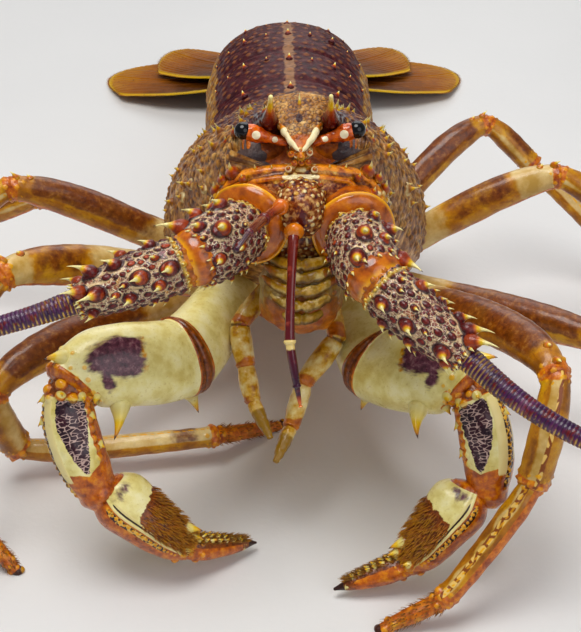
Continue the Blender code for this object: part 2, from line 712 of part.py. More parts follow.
def front_leg_spines(label, point, side):
    """The big single spines of the first legs, and the row of tufted points on the hand and finger."""
    if label == "ischium":
        return [spine_on(point, 0.93, lowest_turn(point, 0.93), 8, 2.2, 0.15, 6, 1)]
    if label == "merus":
        low = lowest_turn(point, 0.72)
        return [
            spine_on(point, 0.66, low, 10, 3.0, 0.2, 6, 1),
            spine_on(point, 0.9, low + math.pi, 6, 2.4, 0.6, 6, 1),
        ]
    if label == "propodus":
        inner = inner_turn(point, 0.8, side)
        spread = (-0.5, 0.0, 0.5)
        tufts = [spine_on(point, 0.42 + 0.16 * i, inner + turn, 2.6, 1.3, 0.9, 4, 1)
                 for i in range(3) for turn in spread]
        return tufts + [spine_on(point, 0.86, inner, 6.5, 2.4, 1.0, 6, 1)]
    if label == "dactyl":
        inner = inner_turn(point, 0.4, side)
        return [spine_on(point, 0.15 + 0.14 * i, inner + turn, 2.4, 1.1, 0.7, 4, 1)
                for i in range(4) for turn in (-0.6, 0.3)]
    return []


def make_walking_leg(name, blockers):
    joints = WALKING_JOINTS[name]
    hinge = hinge_of(joints)
    scale = LEG_SCALE[name[:4]]
    upper = limb(joints, hinge, 0, WALKING_LEG[0], 2.2, 0.2, scale)
    made = swept("upper", upper, trimmed(upper, 7), 8)
    clear_of(made, *blockers)
    upper = finish(made, f"{name}_upper", "leg")
    made = chain("lower", joints, hinge, WALKING_LEG[1:], (4, 4, 4), 8, scale, 2.2, 1)
    clear_of(made, upper)
    floor_cut(made)
    finish(made, f"{name}_lower", "leg")


def clear_scene():
    for old in list(bpy.data.objects):
        bpy.data.objects.remove(old)


def gather(name):
    """Moves the finished pieces into one collection named for the object."""
    group = bpy.data.collections.new(name)
    bpy.context.scene.collection.children.link(group)
    for made in list(bpy.context.scene.collection.objects):
        bpy.context.scene.collection.objects.unlink(made)
        group.objects.link(made)
    return group


def set_on_origin(pieces):
    """Shifts every piece so that the middle of the whole footprint is over the origin."""
    corners = [v.co for made in pieces for v in made.data.vertices]
    x = (min(c.x for c in corners) + max(c.x for c in corners)) / 2
    y = (min(c.y for c in corners) + max(c.y for c in corners)) / 2
    z = min(c.z for c in corners)
    for made in pieces:
        for v in made.data.vertices:
            v.co -= Vector((x, y, z))


def main():
    clear_scene()
    chest_point = trunk(CHEST, None, 2.4, 3.0)
    chest = swept("chest", chest_point, spaced(7), 16)
    carapace = make_carapace(chest)
    head = make_head()
    clear_of(head, carapace)
    mouth = make_mouth(carapace, head, chest)
    body = (carapace, chest, mouth)
    for side_name, side in mirrored_sides():
        eye = ball("eye", head_at(EYE_PLACE[0], side * EYE_PLACE[1], EYE_PLACE[2]), EYE_RADIUS, 10, 7)
        stalk = make_eyestalk(side)
        clear_of(stalk, carapace, head, eye)
        finish(stalk, f"eyestalk_{side_name}", "joint")
        finish(eye, f"eye_{side_name}", "eye")
        whip = make_flagellum(side_name)
        make_antenna(side_name, side, head, carapace, mouth, whip)
        joints = ANTENNULE_JOINTS[side_name]
        made = chain("antennule", joints, hinge_of(joints), ANTENNULE, (4, 4, 4, 4), 7)
        clear_of(made, head, mouth)
        finish(made, f"antennule_{side_name}", "antenna")
        joints = MAXILLIPED_JOINTS[side_name]
        made = chain("maxilliped", joints, hinge_of(joints), MAXILLIPED, (4, 4, 4, 5), 8)
        clear_of(made, mouth, head)
        finish(made, f"maxilliped_{side_name}", "belly")
        make_front_leg(side_name, side, body)
    for name in WALKING_JOINTS:
        make_walking_leg(name, body)
    somites = [make_somite(k) for k in range(1, 7)]
    for k, made in enumerate(somites):
        finish(made, f"abdomen_{k + 1}", "abdomen")
    telson = make_fan_blade("telson", TELSON, 1)
    clear_of(telson, somites[-1])
    floor_cut(telson)
    finish(telson, "telson", "fan")
    for side_name, side in mirrored_sides():
        above = [somites[-1], telson]
        for label, size in (("inner", INNER_FAN), ("outer", OUTER_FAN)):
            made = make_fan_blade(label, size, side)
            clear_of(made, *above)
            floor_cut(made)
            finish(made, f"tail_fan_{label}_{side_name}", "fan")
            above.append(made)
    finish(carapace, "carapace", "shell")
    finish(chest, "chest", "belly")
    finish(head, "head", "shell")
    finish(mouth, "mouth", "belly")
    group = gather("spiny_lobster")
    set_on_origin(group.objects)


main()
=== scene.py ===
import math

import bpy
import numpy as np
from mathutils import Matrix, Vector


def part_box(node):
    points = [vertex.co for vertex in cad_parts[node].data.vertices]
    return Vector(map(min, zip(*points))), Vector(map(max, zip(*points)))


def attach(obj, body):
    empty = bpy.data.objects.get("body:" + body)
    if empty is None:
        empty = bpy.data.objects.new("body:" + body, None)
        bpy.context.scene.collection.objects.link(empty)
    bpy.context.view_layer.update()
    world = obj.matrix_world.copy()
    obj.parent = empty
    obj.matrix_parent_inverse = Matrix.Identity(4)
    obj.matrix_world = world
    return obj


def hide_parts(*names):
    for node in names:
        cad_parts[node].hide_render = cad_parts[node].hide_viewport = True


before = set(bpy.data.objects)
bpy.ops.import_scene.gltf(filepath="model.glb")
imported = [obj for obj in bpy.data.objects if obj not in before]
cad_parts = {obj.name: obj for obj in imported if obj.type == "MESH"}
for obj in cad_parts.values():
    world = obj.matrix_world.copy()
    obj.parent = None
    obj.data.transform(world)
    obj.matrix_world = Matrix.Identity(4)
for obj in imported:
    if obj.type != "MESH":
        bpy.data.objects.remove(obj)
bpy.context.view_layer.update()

# The spiny lobster's looks. The animal faces -Y, its left side is +X and the floor is z = 0. Sizes and
# places below are in millimetres in the animal's own frame, and become metres in the model's frame by
# MM and SHIFT. Tables named as in the solids repeat their sizes, so that each piece lies on its solid.
MM = 0.001
TURN = 2 * math.pi
UP = np.array((0.0, 0.0, 1.0))
ACROSS = np.array((1.0, 0.0, 0.0))
SIDES = {"left": 1, "right": -1}

# Trunk rows: distance behind the eyes, height of the back line, its fall in degrees, half width, depth
# from the back to the widest level, and from there to the belly.
CARAPACE = (
    (3, 127, 25, 21, 15, 20),
    (21, 119, 25, 30, 22, 27),
    (41, 110, 25, 37, 31, 28),
    (60, 101, 25, 42.5, 38, 29),
    (80, 91.5, 25, 45, 42, 29),
    (103, 81, 21, 43, 40, 25),
    (124, 72, 13, 36, 33, 18),
)
ABDOMEN = (
    (124.4, 70.5, 13, 32.5, 29, 15),
    (142, 69.0, 3, 32.5, 29, 16),
    (168, 69.5, 0, 32.5, 30, 16),
    (194, 67.5, 7, 32.5, 29, 15),
    (219, 59.5, 20, 31.5, 26, 14),
    (242, 48, 31, 29.5, 22, 12),
    (264, 33, 37, 25, 15, 9),
)
CHEST = (
    (47, 92, 25, 15, 40, 14),
    (62, 84, 25, 18, 44, 15),
    (80, 75, 25, 21, 46, 12),
    (100, 66, 21, 21, 40, 10),
    (117, 59, 15, 19, 32, 9),
)
GROOVE_AT, GROOVE_DEEP, GROOVE_WIDE = 0.46, 0.06, 0.035

HEAD_ZERO = np.array((0.0, 2.0, 128.0))
HEAD_TILT = math.radians(25)
BACKWARD = np.array((0.0, math.cos(HEAD_TILT), -math.sin(HEAD_TILT)))
HEAD_UP = np.array((0.0, math.sin(HEAD_TILT), math.cos(HEAD_TILT)))
EYE_RADIUS = 2.7
EYE_PLACE = (-2.0, 16.8, -6.2)
HEAD_BLOCK = (
    (7, 27.5, -18, 15),
    (1.7, 27, -16.8, 15),
    (-2, 27, -16.5, 15),
    (-5.5, 26, -17, 14.5),
    (-8, 21.5, -19.5, 12),
    (-9.5, 15.5, -21.5, 9),
)
MOUTH_BLOCK = ((12, 9, -40, 12), (7, 12, -42, 12), (1, 12.5, -43, 12), (-5, 11, -44, 10), (-8, 8, -45, 7))

ANTENNA_JOINTS = {
    "left": ((12.5, -1, 97), (15.5, -21, 99.5), (20, -42, 97), (45, -61, 82)),
    "right": ((-12.5, -1, 97), (-16, -20, 101.5), (-30.5, -37, 101), (-64, -47, 93)),
}
FLAGELLUM_WAY = {
    "left": ((45, -61, 82), (75, -83, 70), (150, -118, 56), (270, -138, 66), (398, -118, 112)),
    "right": ((-64, -47, 93), (-90, -54, 88), (-180, -74, 74), (-290, -84, 78), (-398, -62, 112)),
}
ANTENNA_CUP = ((9, 9), (11, 11), (11.8, 11.8), (11.6, 11.6))
ANTENNA_ARM = ((7.5, 7.5), (9, 9), (9.6, 9.4), (9.6, 9.4), (8, 8))
ANTENNA_WRIST = ((6.4, 6.4), (7.6, 7.4), (7.8, 7.6), (7.2, 7.0), (6.0, 5.8), (4.2, 4.2))
FLAGELLUM = ((3.7, 3.7), (2.9, 2.9), (2.3, 2.3), (1.6, 1.6), (0.9, 0.9), (0.35, 0.35))
FLAGELLUM_CUTS = (0.0, 0.42, 1.0)
ANTENNULE_JOINTS = {
    "left": ((-0.5, -12, 97), (-2.3, -28, 103.7), (-3.9, -49, 79.6), (-2, -54, 67.8), (-1, -56, 62)),
    "right": ((-1.5, -10, 104), (-6.2, -28, 112), (-10.9, -40, 115), (-15, -61, 123), (-18, -76, 127)),
}
ANTENNULE = (((1.8, 1.8), (1.5, 1.5), (2.1, 2.1)), ((1.7, 1.7), (1.3, 1.3), (1.5, 1.5)),
             ((1.3, 1.3), (1.3, 1.3), (1.0, 1.0)), ((0.9, 0.9), (0.7, 0.7), (0.35, 0.35)))
MAXILLIPED_JOINTS = {
    "left": ((7, -2, 70), (11, -17, 59.5), (1.3, -24, 48), (-3.2, -31.5, 36.5), (-8, -42, 31)),
    "right": ((-8, -2, 70), (-18.5, -13, 62), (-17, -21, 52.5), (-15, -28.5, 44.5), (-9.7, -38, 37)),
}
MAXILLIPED = (((3.2, 3.0), (3.4, 3.2), (3.2, 2.8)), ((3.2, 2.8), (4.2, 3.4), (3.4, 2.8)),
              ((2.8, 2.4), (3.6, 3.0), (2.8, 2.4)), ((2.3, 2.0), (2.6, 2.2), (1.9, 1.7), (0.8, 0.8)))
FRONT_LEG_JOINTS = {
    "left": (
        (19.5, 24, 57), (24.7, -21, 52.5), (49, -41.5, 57.5),
        (54, -57.5, 28), (31.3, -64.8, 9.8), (9, -69, 3.2),
    ),
    "right": (
        (-19.5, 24, 57), (-36.9, -24, 57.5), (-67.7, -43, 61.5),
        (-59.4, -57, 29.5), (-35.8, -57.6, 11.0), (-14.4, -47.3, 3.2),
    ),
}
FRONT_LEG = {
    "ischium": ((7, 8), (7.8, 9), (8.6, 11), (9.2, 12.2)),
    "merus": ((9.2, 12.2), (9.8, 12.6), (10, 12.6), (9.4, 11.6), (7, 8.4)),
    "carpus": ((5.5, 5.8), (7, 7.6), (7.4, 8), (6.8, 7), (4.8, 5)),
    "propodus": ((4.8, 6.0), (7.0, 9.2), (7.2, 8.4), (6.2, 7.0), (4.0, 4.4)),
    "dactyl": ((3.6, 3.8), (3.7, 3.9), (3, 3.3), (1.9, 2.2), (0.4, 0.4)),
}
HAND_START = {"left": (49.6, -56.0, 31.0), "right": (-58.4, -55.1, 32.4)}
HAND_BOW = 0.1
WALKING_JOINTS = {
    "leg2_left": ((21, 42, 42), (73, -50, 67), (66.5, -64, 38.7), (40.5, -80.6, 9.6), (21.5, -83.5, 0)),
    "leg2_right": ((-21, 42, 42), (-90.3, -16, 82), (-109.3, -34, 60), (-99.4, -50, 14), (-87.4, -56, 0)),
    "leg3_left": ((21, 57, 35), (98.5, -2, 46), (120.5, -15, 37), (173, -46, 18), (185, -54, 0)),
    "leg3_right": ((-21, 57, 35), (-97, -13, 36), (-91, -10, 13), (-28, 0, 8.8), (-5, 17, 0)),
    "leg4_left": ((21, 71, 29), (93, 72, 66), (116, 66, 53), (157, 50, 18), (170, 45, 0)),
    "leg4_right": ((-21, 71, 29), (-97, 58, 71), (-120, 50, 59), (-157, 36, 18), (-169, 31, 0)),
    "leg5_left": ((20, 85, 25), (73, 118, 63), (91, 115, 47), (124, 100, 16), (134, 96, 0)),
    "leg5_right": ((-20, 85, 25), (-93, 94, 47), (-115, 98, 37), (-155, 106, 16), (-167, 108, 0)),
}
WALKING_LEG = (
    ((6.2, 6.2), (5.6, 6.2), (5.2, 6.2), (5.4, 6.6), (5, 6), (3.8, 4.2)),
    ((3.4, 3.8), (4.6, 5.0), (4.8, 5.2), (4.2, 4.4)),
    ((3.0, 3.2), (3.6, 4.0), (3.5, 3.8), (3.3, 3.5), (3.1, 3.2)),
    ((2.4, 2.6), (2.4, 2.8), (1.9, 2.2), (1.0, 1.1)),
)
LEG_SCALE = {"leg2": 1.0, "leg3": 1.0, "leg4": 0.92, "leg5": 0.82}
TELSON = {"length": 62, "wide": 20, "turn": 0, "root": (0, 257, 24), "end": 8, "edges": (2, 2)}
INNER_FAN = {"length": 65, "wide": 21, "turn": 40, "root": (12, 259, 20), "end": 6.5, "edges": (-2.5, 0.5)}
OUTER_FAN = {"length": 70, "wide": 21.5, "turn": 64, "root": (19, 263, 14), "end": 0.9, "edges": (0.8, 2.5)}
FAN_THICK = 2.6


def unit(v):
    """Directions of length 1."""
    return v / np.maximum(np.linalg.norm(v, axis=-1, keepdims=True), 1e-9)


def dot(a, b):
    """How far vectors a reach along vectors b."""
    return (a * b).sum(axis=-1)


def clamp01(x):
    """Values kept from 0 to 1."""
    return np.clip(x, 0.0, 1.0)


def step(low, high, x):
    """0 below low, 1 above high, smooth between."""
    f = clamp01((x - low) / (high - low))
    return f * f * (3 - 2 * f)


def hump(centre, wide, x):
    """1 at the centre, fading over a width on both sides."""
    return np.exp(-((x - centre) / wide) ** 2)


def head_at(behind, across, above):
    """Places in the head's own frame."""
    behind, across, above = (np.asarray(v, float)[..., None] for v in (behind, across, above))
    return HEAD_ZERO + BACKWARD * behind + ACROSS * across + HEAD_UP * above


def head_frame(points):
    """How far points are behind, across and above the head's zero."""
    away = points - HEAD_ZERO
    return dot(away, BACKWARD), away[..., 0], dot(away, HEAD_UP)


def smooth(rows, t):
    """The rows at places t from 0 to 1 on a smooth curve through them all."""
    rows = np.asarray(rows, float)
    place = clamp01(np.asarray(t, float)) * (len(rows) - 1)
    i = np.minimum(place.astype(int), len(rows) - 2)
    f = (place - i)[..., None]
    a, b, c, d = (rows[np.clip(i + k, 0, len(rows) - 1)] for k in (-1, 0, 1, 2))
    bend, twist = 2 * a - 5 * b + 4 * c - d, 3 * b - 3 * c + d - a
    return 0.5 * (2 * b + (c - a) * f + bend * f ** 2 + twist * f ** 3)


def surface(point):
    """Lets a surface function take numbers or arrays alike."""

    def spread(t, q):
        return point(*np.broadcast_arrays(np.asarray(t, float), np.asarray(q, float)))

    return spread


def oval(centre, side, out, wide, high, q, power=2.0):
    """Points round centres, at angles q from side to out."""
    return (centre + side * (wide * rounded(np.cos(q), power))[..., None]
            + out * (high * rounded(np.sin(q), power))[..., None])


def rounded(value, power):
    """A sine or cosine that makes an oval squarer where power is over 2."""
    return np.sign(value) * np.abs(value) ** (2.0 / power)


def trunk(rows, swell=None, top=2.1, bottom=2.4):
    """The surface of a trunk plate: point(t, q), with t along it and q round it, up at a quarter turn."""

    @surface
    def point(t, q):
        behind, height, fall, half, above, below = np.moveaxis(smooth(rows, t), -1, 0)
        fall = np.radians(fall)
        up = np.stack((np.zeros_like(fall), np.sin(fall), np.cos(fall)), -1)
        size = swell(t, q) if swell else np.ones_like(t)
        back = np.sin(q) > 0
        depth = np.where(back, above, below) * size
        centre = np.stack((np.zeros_like(t), behind, height), -1) - up * above[..., None]
        return oval(centre, ACROSS, up, half * size, depth, q, np.where(back, top, bottom))

    return point


def shell_swell(t, q):
    """The size of the carapace round it, with its groove."""
    back = np.maximum(np.sin(q), 0.0)
    groove = np.exp(-(((t - GROOVE_AT + 0.12 * (1 - back)) / GROOVE_WIDE) ** 2))
    return 1 - GROOVE_DEEP * groove * (0.3 + 0.7 * back)


def limb(joints, hinge, k, sizes, power=2.2, bow=0.2, scale=1.0):
    """The surface of length k of a jointed limb: point(t, q), with q = 0 towards the hinge side."""
    places = np.asarray(joints, float)
    steps = unit(places[1:] - places[:-1])
    turns = np.concatenate((steps[:1], unit(steps[:-1] + steps[1:]), steps[-1:]))
    a, b = places[k], places[k + 1]
    reach = np.linalg.norm(b - a) * bow
    handles = np.array((a, a + turns[k] * reach, b - turns[k + 1] * reach, b))
    hinge = np.asarray(hinge, float)

    @surface
    def point(t, q):
        inside = clamp01(t)
        u = 1 - inside
        weights = np.stack((u ** 3, 3 * u * u * inside, 3 * u * inside ** 2, inside ** 3), -1)
        slopes = np.stack((-3 * u * u, 3 * u * u - 6 * u * inside, 6 * u * inside - 3 * inside ** 2,
                           3 * inside ** 2), -1)
        centre = weights @ handles
        along = unit(slopes @ handles)
        centre = centre + along * ((t - inside) * np.linalg.norm(b - a))[..., None]
        side = unit(hinge - along * dot(along, hinge)[..., None])
        out = np.cross(side, along)
        wide, high = np.moveaxis(smooth(sizes, t), -1, 0) * scale
        return oval(centre, side, out, wide, high, q, power)

    return point


def hinge_of(joints):
    """The line across the plane in which a limb bends."""
    a, b, c = (np.asarray(joints[i], float) for i in (0, len(joints) // 2, -1))
    return unit(np.cross(b - a, c - b))


def flagellum_point(way):
    """The surface of a whip through its own points, thinning to its tip."""

    @surface
    def point(t, q):
        centre = smooth(way, t)
        along = unit(smooth(way, np.minimum(t + 0.01, 1)) - smooth(way, np.maximum(t - 0.01, 0)))
        side = unit(np.cross(along, UP))
        wide, high = np.moveaxis(smooth(FLAGELLUM, t), -1, 0)
        return oval(centre, side, np.cross(side, along), wide, high, q)

    return point


def fan_point(blade_size, side):
    """The middle sheet of a tail fan blade: place(t, w), with w from -1 at its inner edge to 1."""
    turn = math.radians(blade_size["turn"]) * side
    way = np.array((math.sin(turn), math.cos(turn), 0))
    across = np.array((math.cos(turn), -math.sin(turn), 0)) * side
    x, y, z = blade_size["root"]
    length, wide, end = blade_size["length"], blade_size["wide"], blade_size["end"]

    def place(t, w):
        width = wide * (0.5 + 0.5 * np.sin(np.minimum(t / 0.55, 1) * math.pi / 2))
        width = width * (1 - 3 * np.maximum(t - 0.8, 0) ** 2)
        reach = length * t * (1 - 0.2 * (w * t) ** 2)
        inner, outer = blade_size["edges"]
        edge = np.where(w > 0, outer, inner) * w * w * np.sin(np.minimum(t * 1.6, 1) * math.pi / 2)
        middle = end + (z - end) * (1 - t) ** 1.5
        flat = np.array((x * side, y, 0.0)) + way * reach[..., None] + across * (width * w)[..., None]
        return flat + UP * (middle + edge)[..., None]

    return place


def ring_block(rings, power, sweep, lean):
    """The surface of a block given by rows of behind, half width, top and depth in the head's frame."""

    @surface
    def point(t, q):
        behind, half, top, depth = np.moveaxis(smooth(rings, t), -1, 0)
        bent = np.where(behind < 5, sweep, 0) * np.cos(q) ** 2 + lean * depth * (1 - np.sin(q))
        return head_at(behind + bent, half * rounded(np.cos(q), power),
                       top - depth + depth * rounded(np.sin(q), power))

    return point


LEG_HINGE = {side: hinge_of(joints[1:]) for side, joints in FRONT_LEG_JOINTS.items()}


def front_leg_point(side_name, label):
    """The surface of a length of a first leg."""
    k = list(FRONT_LEG).index(label)
    joints, bow = FRONT_LEG_JOINTS[side_name], 0.26
    if label == "propodus":
        joints, bow = joints[:k] + (HAND_START[side_name],) + joints[k + 1:], HAND_BOW
    return limb(joints, LEG_HINGE[side_name], k, FRONT_LEG[label], 2.2, bow)


def walking_point(name, k):
    """The surface of length k of a walking leg."""
    joints, bow = WALKING_JOINTS[name], 0.2 if k == 0 else 0.14
    return limb(joints, hinge_of(joints), k, WALKING_LEG[k], 2.2, bow, LEG_SCALE[name[:4]])


def antenna_point(side_name, k):
    """The surface of length k of an antenna."""
    sizes = (ANTENNA_CUP, ANTENNA_ARM, ANTENNA_WRIST)[k]
    return limb(ANTENNA_JOINTS[side_name], HEAD_UP, k, sizes, 2.0 if k == 0 else 2.1)


# Where the solids' left eye is says how far the animal's own frame lies from the model's
EYE_LOW, EYE_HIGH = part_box("eye_left")
SHIFT = np.array([(a + b) / 2 / MM for a, b in zip(EYE_LOW, EYE_HIGH)]) - head_at(*EYE_PLACE)
# The least height of any point over the floor, and that of the soles and the fan
LEAST_HEIGHT, SOLE_HEIGHT = 0.02, 0.05


def in_scene(name, data):
    """A new object in the scene."""
    made = bpy.data.objects.new(name, data)
    bpy.context.scene.collection.objects.link(made)
    return made


class Piece:
    """The points, faces and named masks of one piece, gathered body by body."""

    def __init__(self):
        self.points, self.faces, self.masks, self.count = [], [], [], 0

    def add(self, points, faces, **masks):
        """Adds one closed body, turned outwards."""
        middle = points.mean(axis=0)
        volume = 0.0
        for group in faces:
            for i in range(1, group.shape[1] - 1):
                a, b, c = (points[group[:, k]] - middle for k in (0, i, i + 1))
                volume += dot(a, np.cross(b, c)).sum()
        for group in faces:
            self.faces.append((group if volume > 0 else group[:, ::-1]) + self.count)
        self.points.append(points)
        self.masks.append(masks)
        self.count += len(points)

    def build(self, name, paint, slot, *nodes):
        """Makes the object, which stands for the named solids."""
        points = (np.concatenate(self.points) + SHIFT) * MM
        points[:, 2] = np.maximum(points[:, 2], LEAST_HEIGHT * MM)
        mesh = bpy.data.meshes.new(name)
        mesh.vertices.add(len(points))
        mesh.vertices.foreach_set("co", points.astype(np.float32).ravel())
        sizes = np.concatenate([np.full(len(f), f.shape[1], np.int32) for f in self.faces])
        corners = np.concatenate([f.ravel() for f in self.faces]).astype(np.int32)
        mesh.loops.add(len(corners))
        mesh.loops.foreach_set("vertex_index", corners)
        mesh.polygons.add(len(sizes))
        mesh.polygons.foreach_set("loop_start", np.concatenate(([0],
                                                                np.cumsum(sizes)[:-1])).astype(np.int32))
        mesh.update(calc_edges=True)
        mesh.polygons.foreach_set("use_smooth", np.ones(len(sizes), bool))
        for mask in sorted({mask for masks in self.masks for mask in masks}):
            kind, field, wide = ("FLOAT", "value", ())
            if mask == "place":
                kind, field, wide = ("FLOAT_VECTOR", "vector", (3,))
            parts = [np.broadcast_to(np.asarray(masks.get(mask, 0.0), float), (len(body), *wide))
                     for masks, body in zip(self.masks, self.points)]
            layer = mesh.attributes.new(mask, kind, "POINT")
            layer.data.foreach_set(field, np.concatenate(parts).astype(np.float32).ravel())
        made = in_scene(name, mesh)
        mesh.materials.append(PAINTS[paint])
        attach(made, "root")
        if nodes:
            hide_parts(*nodes)
        return made


def tube_faces(rows, sides):
    """Faces of a tube of rows of points, closed by a point at each end: the last two points."""
    start = np.arange(rows - 1)[:, None] * sides
    j = np.arange(sides)
    k = (j + 1) % sides
    quads = np.stack((start + j, start + k, start + sides + k, start + sides + j), -1).reshape(-1, 4)
    first, end = rows * sides, (rows - 1) * sides
    low = np.stack((np.full(sides, first), k, j), -1)
    high = np.stack((np.full(sides, first + 1), end + j, end + k), -1)
    return [quads, np.concatenate((low, high))]


# How far round to the top each ring of a rounded end lies
CAP_TURNS = [share * math.pi / 2 for share in (0.35, 0.6, 0.8, 0.93)]


class Tube:
    """A closed body over a surface, as rows of points, with a normal and masks for each."""

    def __init__(self, point, places, sides):
        q = TURN * np.arange(sides) / sides
        self.t, self.q = (a.copy() for a in np.broadcast_arrays(places[:, None], q[None]))
        self.p = point(self.t, self.q)
        self.centre = self.p.mean(axis=1, keepdims=True)
        steps = np.linalg.norm(np.diff(self.centre[:, 0], axis=0), axis=1)
        self.s = np.concatenate(([0.0], np.cumsum(steps)))[:, None] * np.ones_like(self.q)
        self.along = unit(np.gradient(self.centre[:, 0], axis=0))[:, None]
        side = unit(self.p[:, :1] - self.centre)
        out = np.cross(self.along, side)
        away = self.p - self.centre
        self.place = np.stack((dot(away, side), dot(away, out), self.s), -1)
        self.masks = {}

    def normal(self):
        """The outward direction at each point."""
        around = np.roll(self.p, -1, 1) - np.roll(self.p, 1, 1)
        normal = unit(np.cross(np.gradient(self.p, axis=0), around))
        return normal * np.sign(dot(normal, self.p - self.centre).sum())

    def push(self, height):
        """Moves the surface outwards by height."""
        self.p = self.p + self.normal() * np.asarray(height)[..., None]

    def mark(self, **masks):
        """Sets named masks over the surface."""
        self.masks.update(masks)

    def span(self, start, full, fade, end):
        """1 along the tube from full to fade, and 0 before start and after end."""
        return step(start, full, self.t) * step(end, fade, self.t)

    def furthest(self, row, way):
        """The angle at which a row of points reaches furthest along way."""
        return self.q[0, int(np.argmax(self.p[row] @ way))]

    def window(self, t, q, reach):
        """Rows and columns of the points that may lie within reach of the place (t, q)."""
        rows, sides = self.t.shape
        i = int(np.abs(self.t[:, 0] - t).argmin())
        j = int(round((q - self.q[0, 0]) / TURN * sides)) % sides
        down = np.linalg.norm(self.p[min(i + 1, rows - 1), j] - self.p[max(i - 1, 0), j]) / 2 + 1e-6
        round_step = np.linalg.norm(self.p[i, (j + 1) % sides] - self.p[i, j - 1]) / 2 + 1e-6
        high = int(reach / down) + 2
        wide = min(int(reach / round_step) + 2, sides // 2 - 1)
        pick = np.arange(max(i - high, 0), min(i + high + 1, rows))
        return i, j, np.ix_(pick, np.arange(j - wide, j + wide + 1) % sides)

    def stud(self, spots, power=0.7, stretch=1.0, tilt=0.0):
        """Raises knobs at spots of (t, q, radius, height), and masks them and the ring at their feet."""
        lift = np.zeros_like(self.t)
        knob, ring = (self.masks.setdefault(name, np.zeros_like(self.t)) for name in ("knob", "ring"))
        for t, q, radius, height in spots:
            i, j, pick = self.window(t, q, radius * 1.7 * stretch)
            away = self.p[pick] - self.p[i, j]
            run = dot(away, self.along[i, 0])
            far = np.sqrt(np.maximum(dot(away, away) - run ** 2 * (1 - 1 / stretch ** 2), 0)) / radius
            rise = height * np.maximum(1 - far ** 2, 0) ** power * (1 + tilt * run / radius)
            lift[pick] = np.maximum(lift[pick], rise)
            knob[pick] = np.maximum(knob[pick], clamp01(1.5 * (1 - far)))
            ring[pick] = np.maximum(ring[pick], hump(1.12, 0.22, far))
        ring *= 1 - knob
        self.push(lift)

    def place_at(self, t, q):
        """The point of the surface at (t, q), its outward normal, the way along and its own place."""
        i, j, _ = self.window(t, q, 0.1)
        around = self.p[i, (j + 1) % self.p.shape[1]] - self.p[i, j - 1]
        i0, i1 = max(i - 1, 0), min(i + 1, len(self.p) - 1)
        normal = unit(np.cross(self.p[i1, j] - self.p[i0, j], around))
        if dot(normal, self.p[i, j] - self.centre[i, 0]) < 0:
            normal = -normal
        return self.p[i, j], normal, self.along[i, 0], self.place[i, j]

    def add_to(self, piece, ends=(0.0, 0.0)):
        """Closes the tube, with its ends rounded out by the given heights, and adds it to a piece."""
        layers = {name: np.broadcast_to(value, self.t.shape) for name, value in self.masks.items()}
        layers.update(points=self.p, place=self.place)
        tops = []
        for end, height in zip((0, -1), ends):
            middle = self.p[end].mean(axis=0)
            rise = self.along[end, 0] * (-height if end == 0 else height)
            tops.append(middle + rise)
            if not height:
                continue
            away = self.p[end] - middle
            rings = [middle + away * math.cos(turn) + rise * math.sin(turn) for turn in CAP_TURNS]
            for name, rows in layers.items():
                more = np.array(rings[::-1] if end == 0 else rings)
                if name != "points":
                    more = np.repeat(rows[[end]], len(CAP_TURNS), 0)
                layers[name] = np.concatenate((more, rows) if end == 0 else (rows, more))
        rows, sides = layers["points"].shape[:2]
        points = np.concatenate((layers.pop("points").reshape(-1, 3), tops))
        masks = {}
        for name, value in layers.items():
            ends = value[[0, -1]].mean(axis=1)
            masks[name] = np.concatenate((value.reshape(rows * sides, *value.shape[2:]), ends))
        piece.add(points, tube_faces(rows, sides), **masks)
        return piece


def tiers(count, start=0.0, end=1.0):
    """Evenly spaced places for the rows of a tube."""
    return np.linspace(start, end, count)


def scatter(point, seed, sizes, tries, spacing=1.0, within=None, taken=()):
    """Spots spread over a surface at random, no two nearer than their sizes: (t, q, radius) of each."""
    draw = np.random.default_rng(seed)
    t, q = draw.random(tries), draw.random(tries) * TURN
    radius = sizes[0] + (sizes[1] - sizes[0]) * draw.random(tries) ** 1.6
    if within is not None:
        keep = within(t, q)
        t, q, radius = t[keep], q[keep], radius[keep]
    p = point(t, q)
    order = np.argsort(-radius, kind="stable")
    kept_p = np.array([point(np.array(a), np.array(b)) for a, b, _ in taken]).reshape(-1, 3)
    kept_r = np.array([r for _, _, r in taken], float)
    found = []
    for i in order:
        if len(kept_p):
            gap = np.linalg.norm(kept_p - p[i], axis=1) - (kept_r + radius[i]) * spacing
            if gap.min() < 0:
                continue
        kept_p = np.vstack((kept_p, p[i]))
        kept_r = np.append(kept_r, radius[i])
        found.append((t[i], q[i], radius[i]))
    return found


def knobs(spots, share, scale=1.0):
    """Knobs for Tube.stud at scattered spots, each as high as a share of its radius."""
    return [(t, q, radius * scale, radius * share * scale) for t, q, radius in spots]


# The share of a spine's length that its foot is sunk in the shell
SPINE_SUNK = 0.25


def bent(root, way, lean, length, s):
    """Places at shares s of a curve that starts along way and bends to lean, and those shares from 0."""
    rise = np.maximum(s, 0)
    return root + length * (way * (s - rise ** 2 / 2)[:, None] + lean * (rise ** 2 / 2)[:, None]), rise


def whorl(centre, size, side, out, sides):
    """Rings of points round the places of a curve, one after another."""
    q = TURN * np.arange(sides) / sides
    ring = side * np.cos(q)[:, None] + out * np.sin(q)[:, None]
    return (centre[:, None] + ring[None] * size[:, None, None]).reshape(-1, 3)


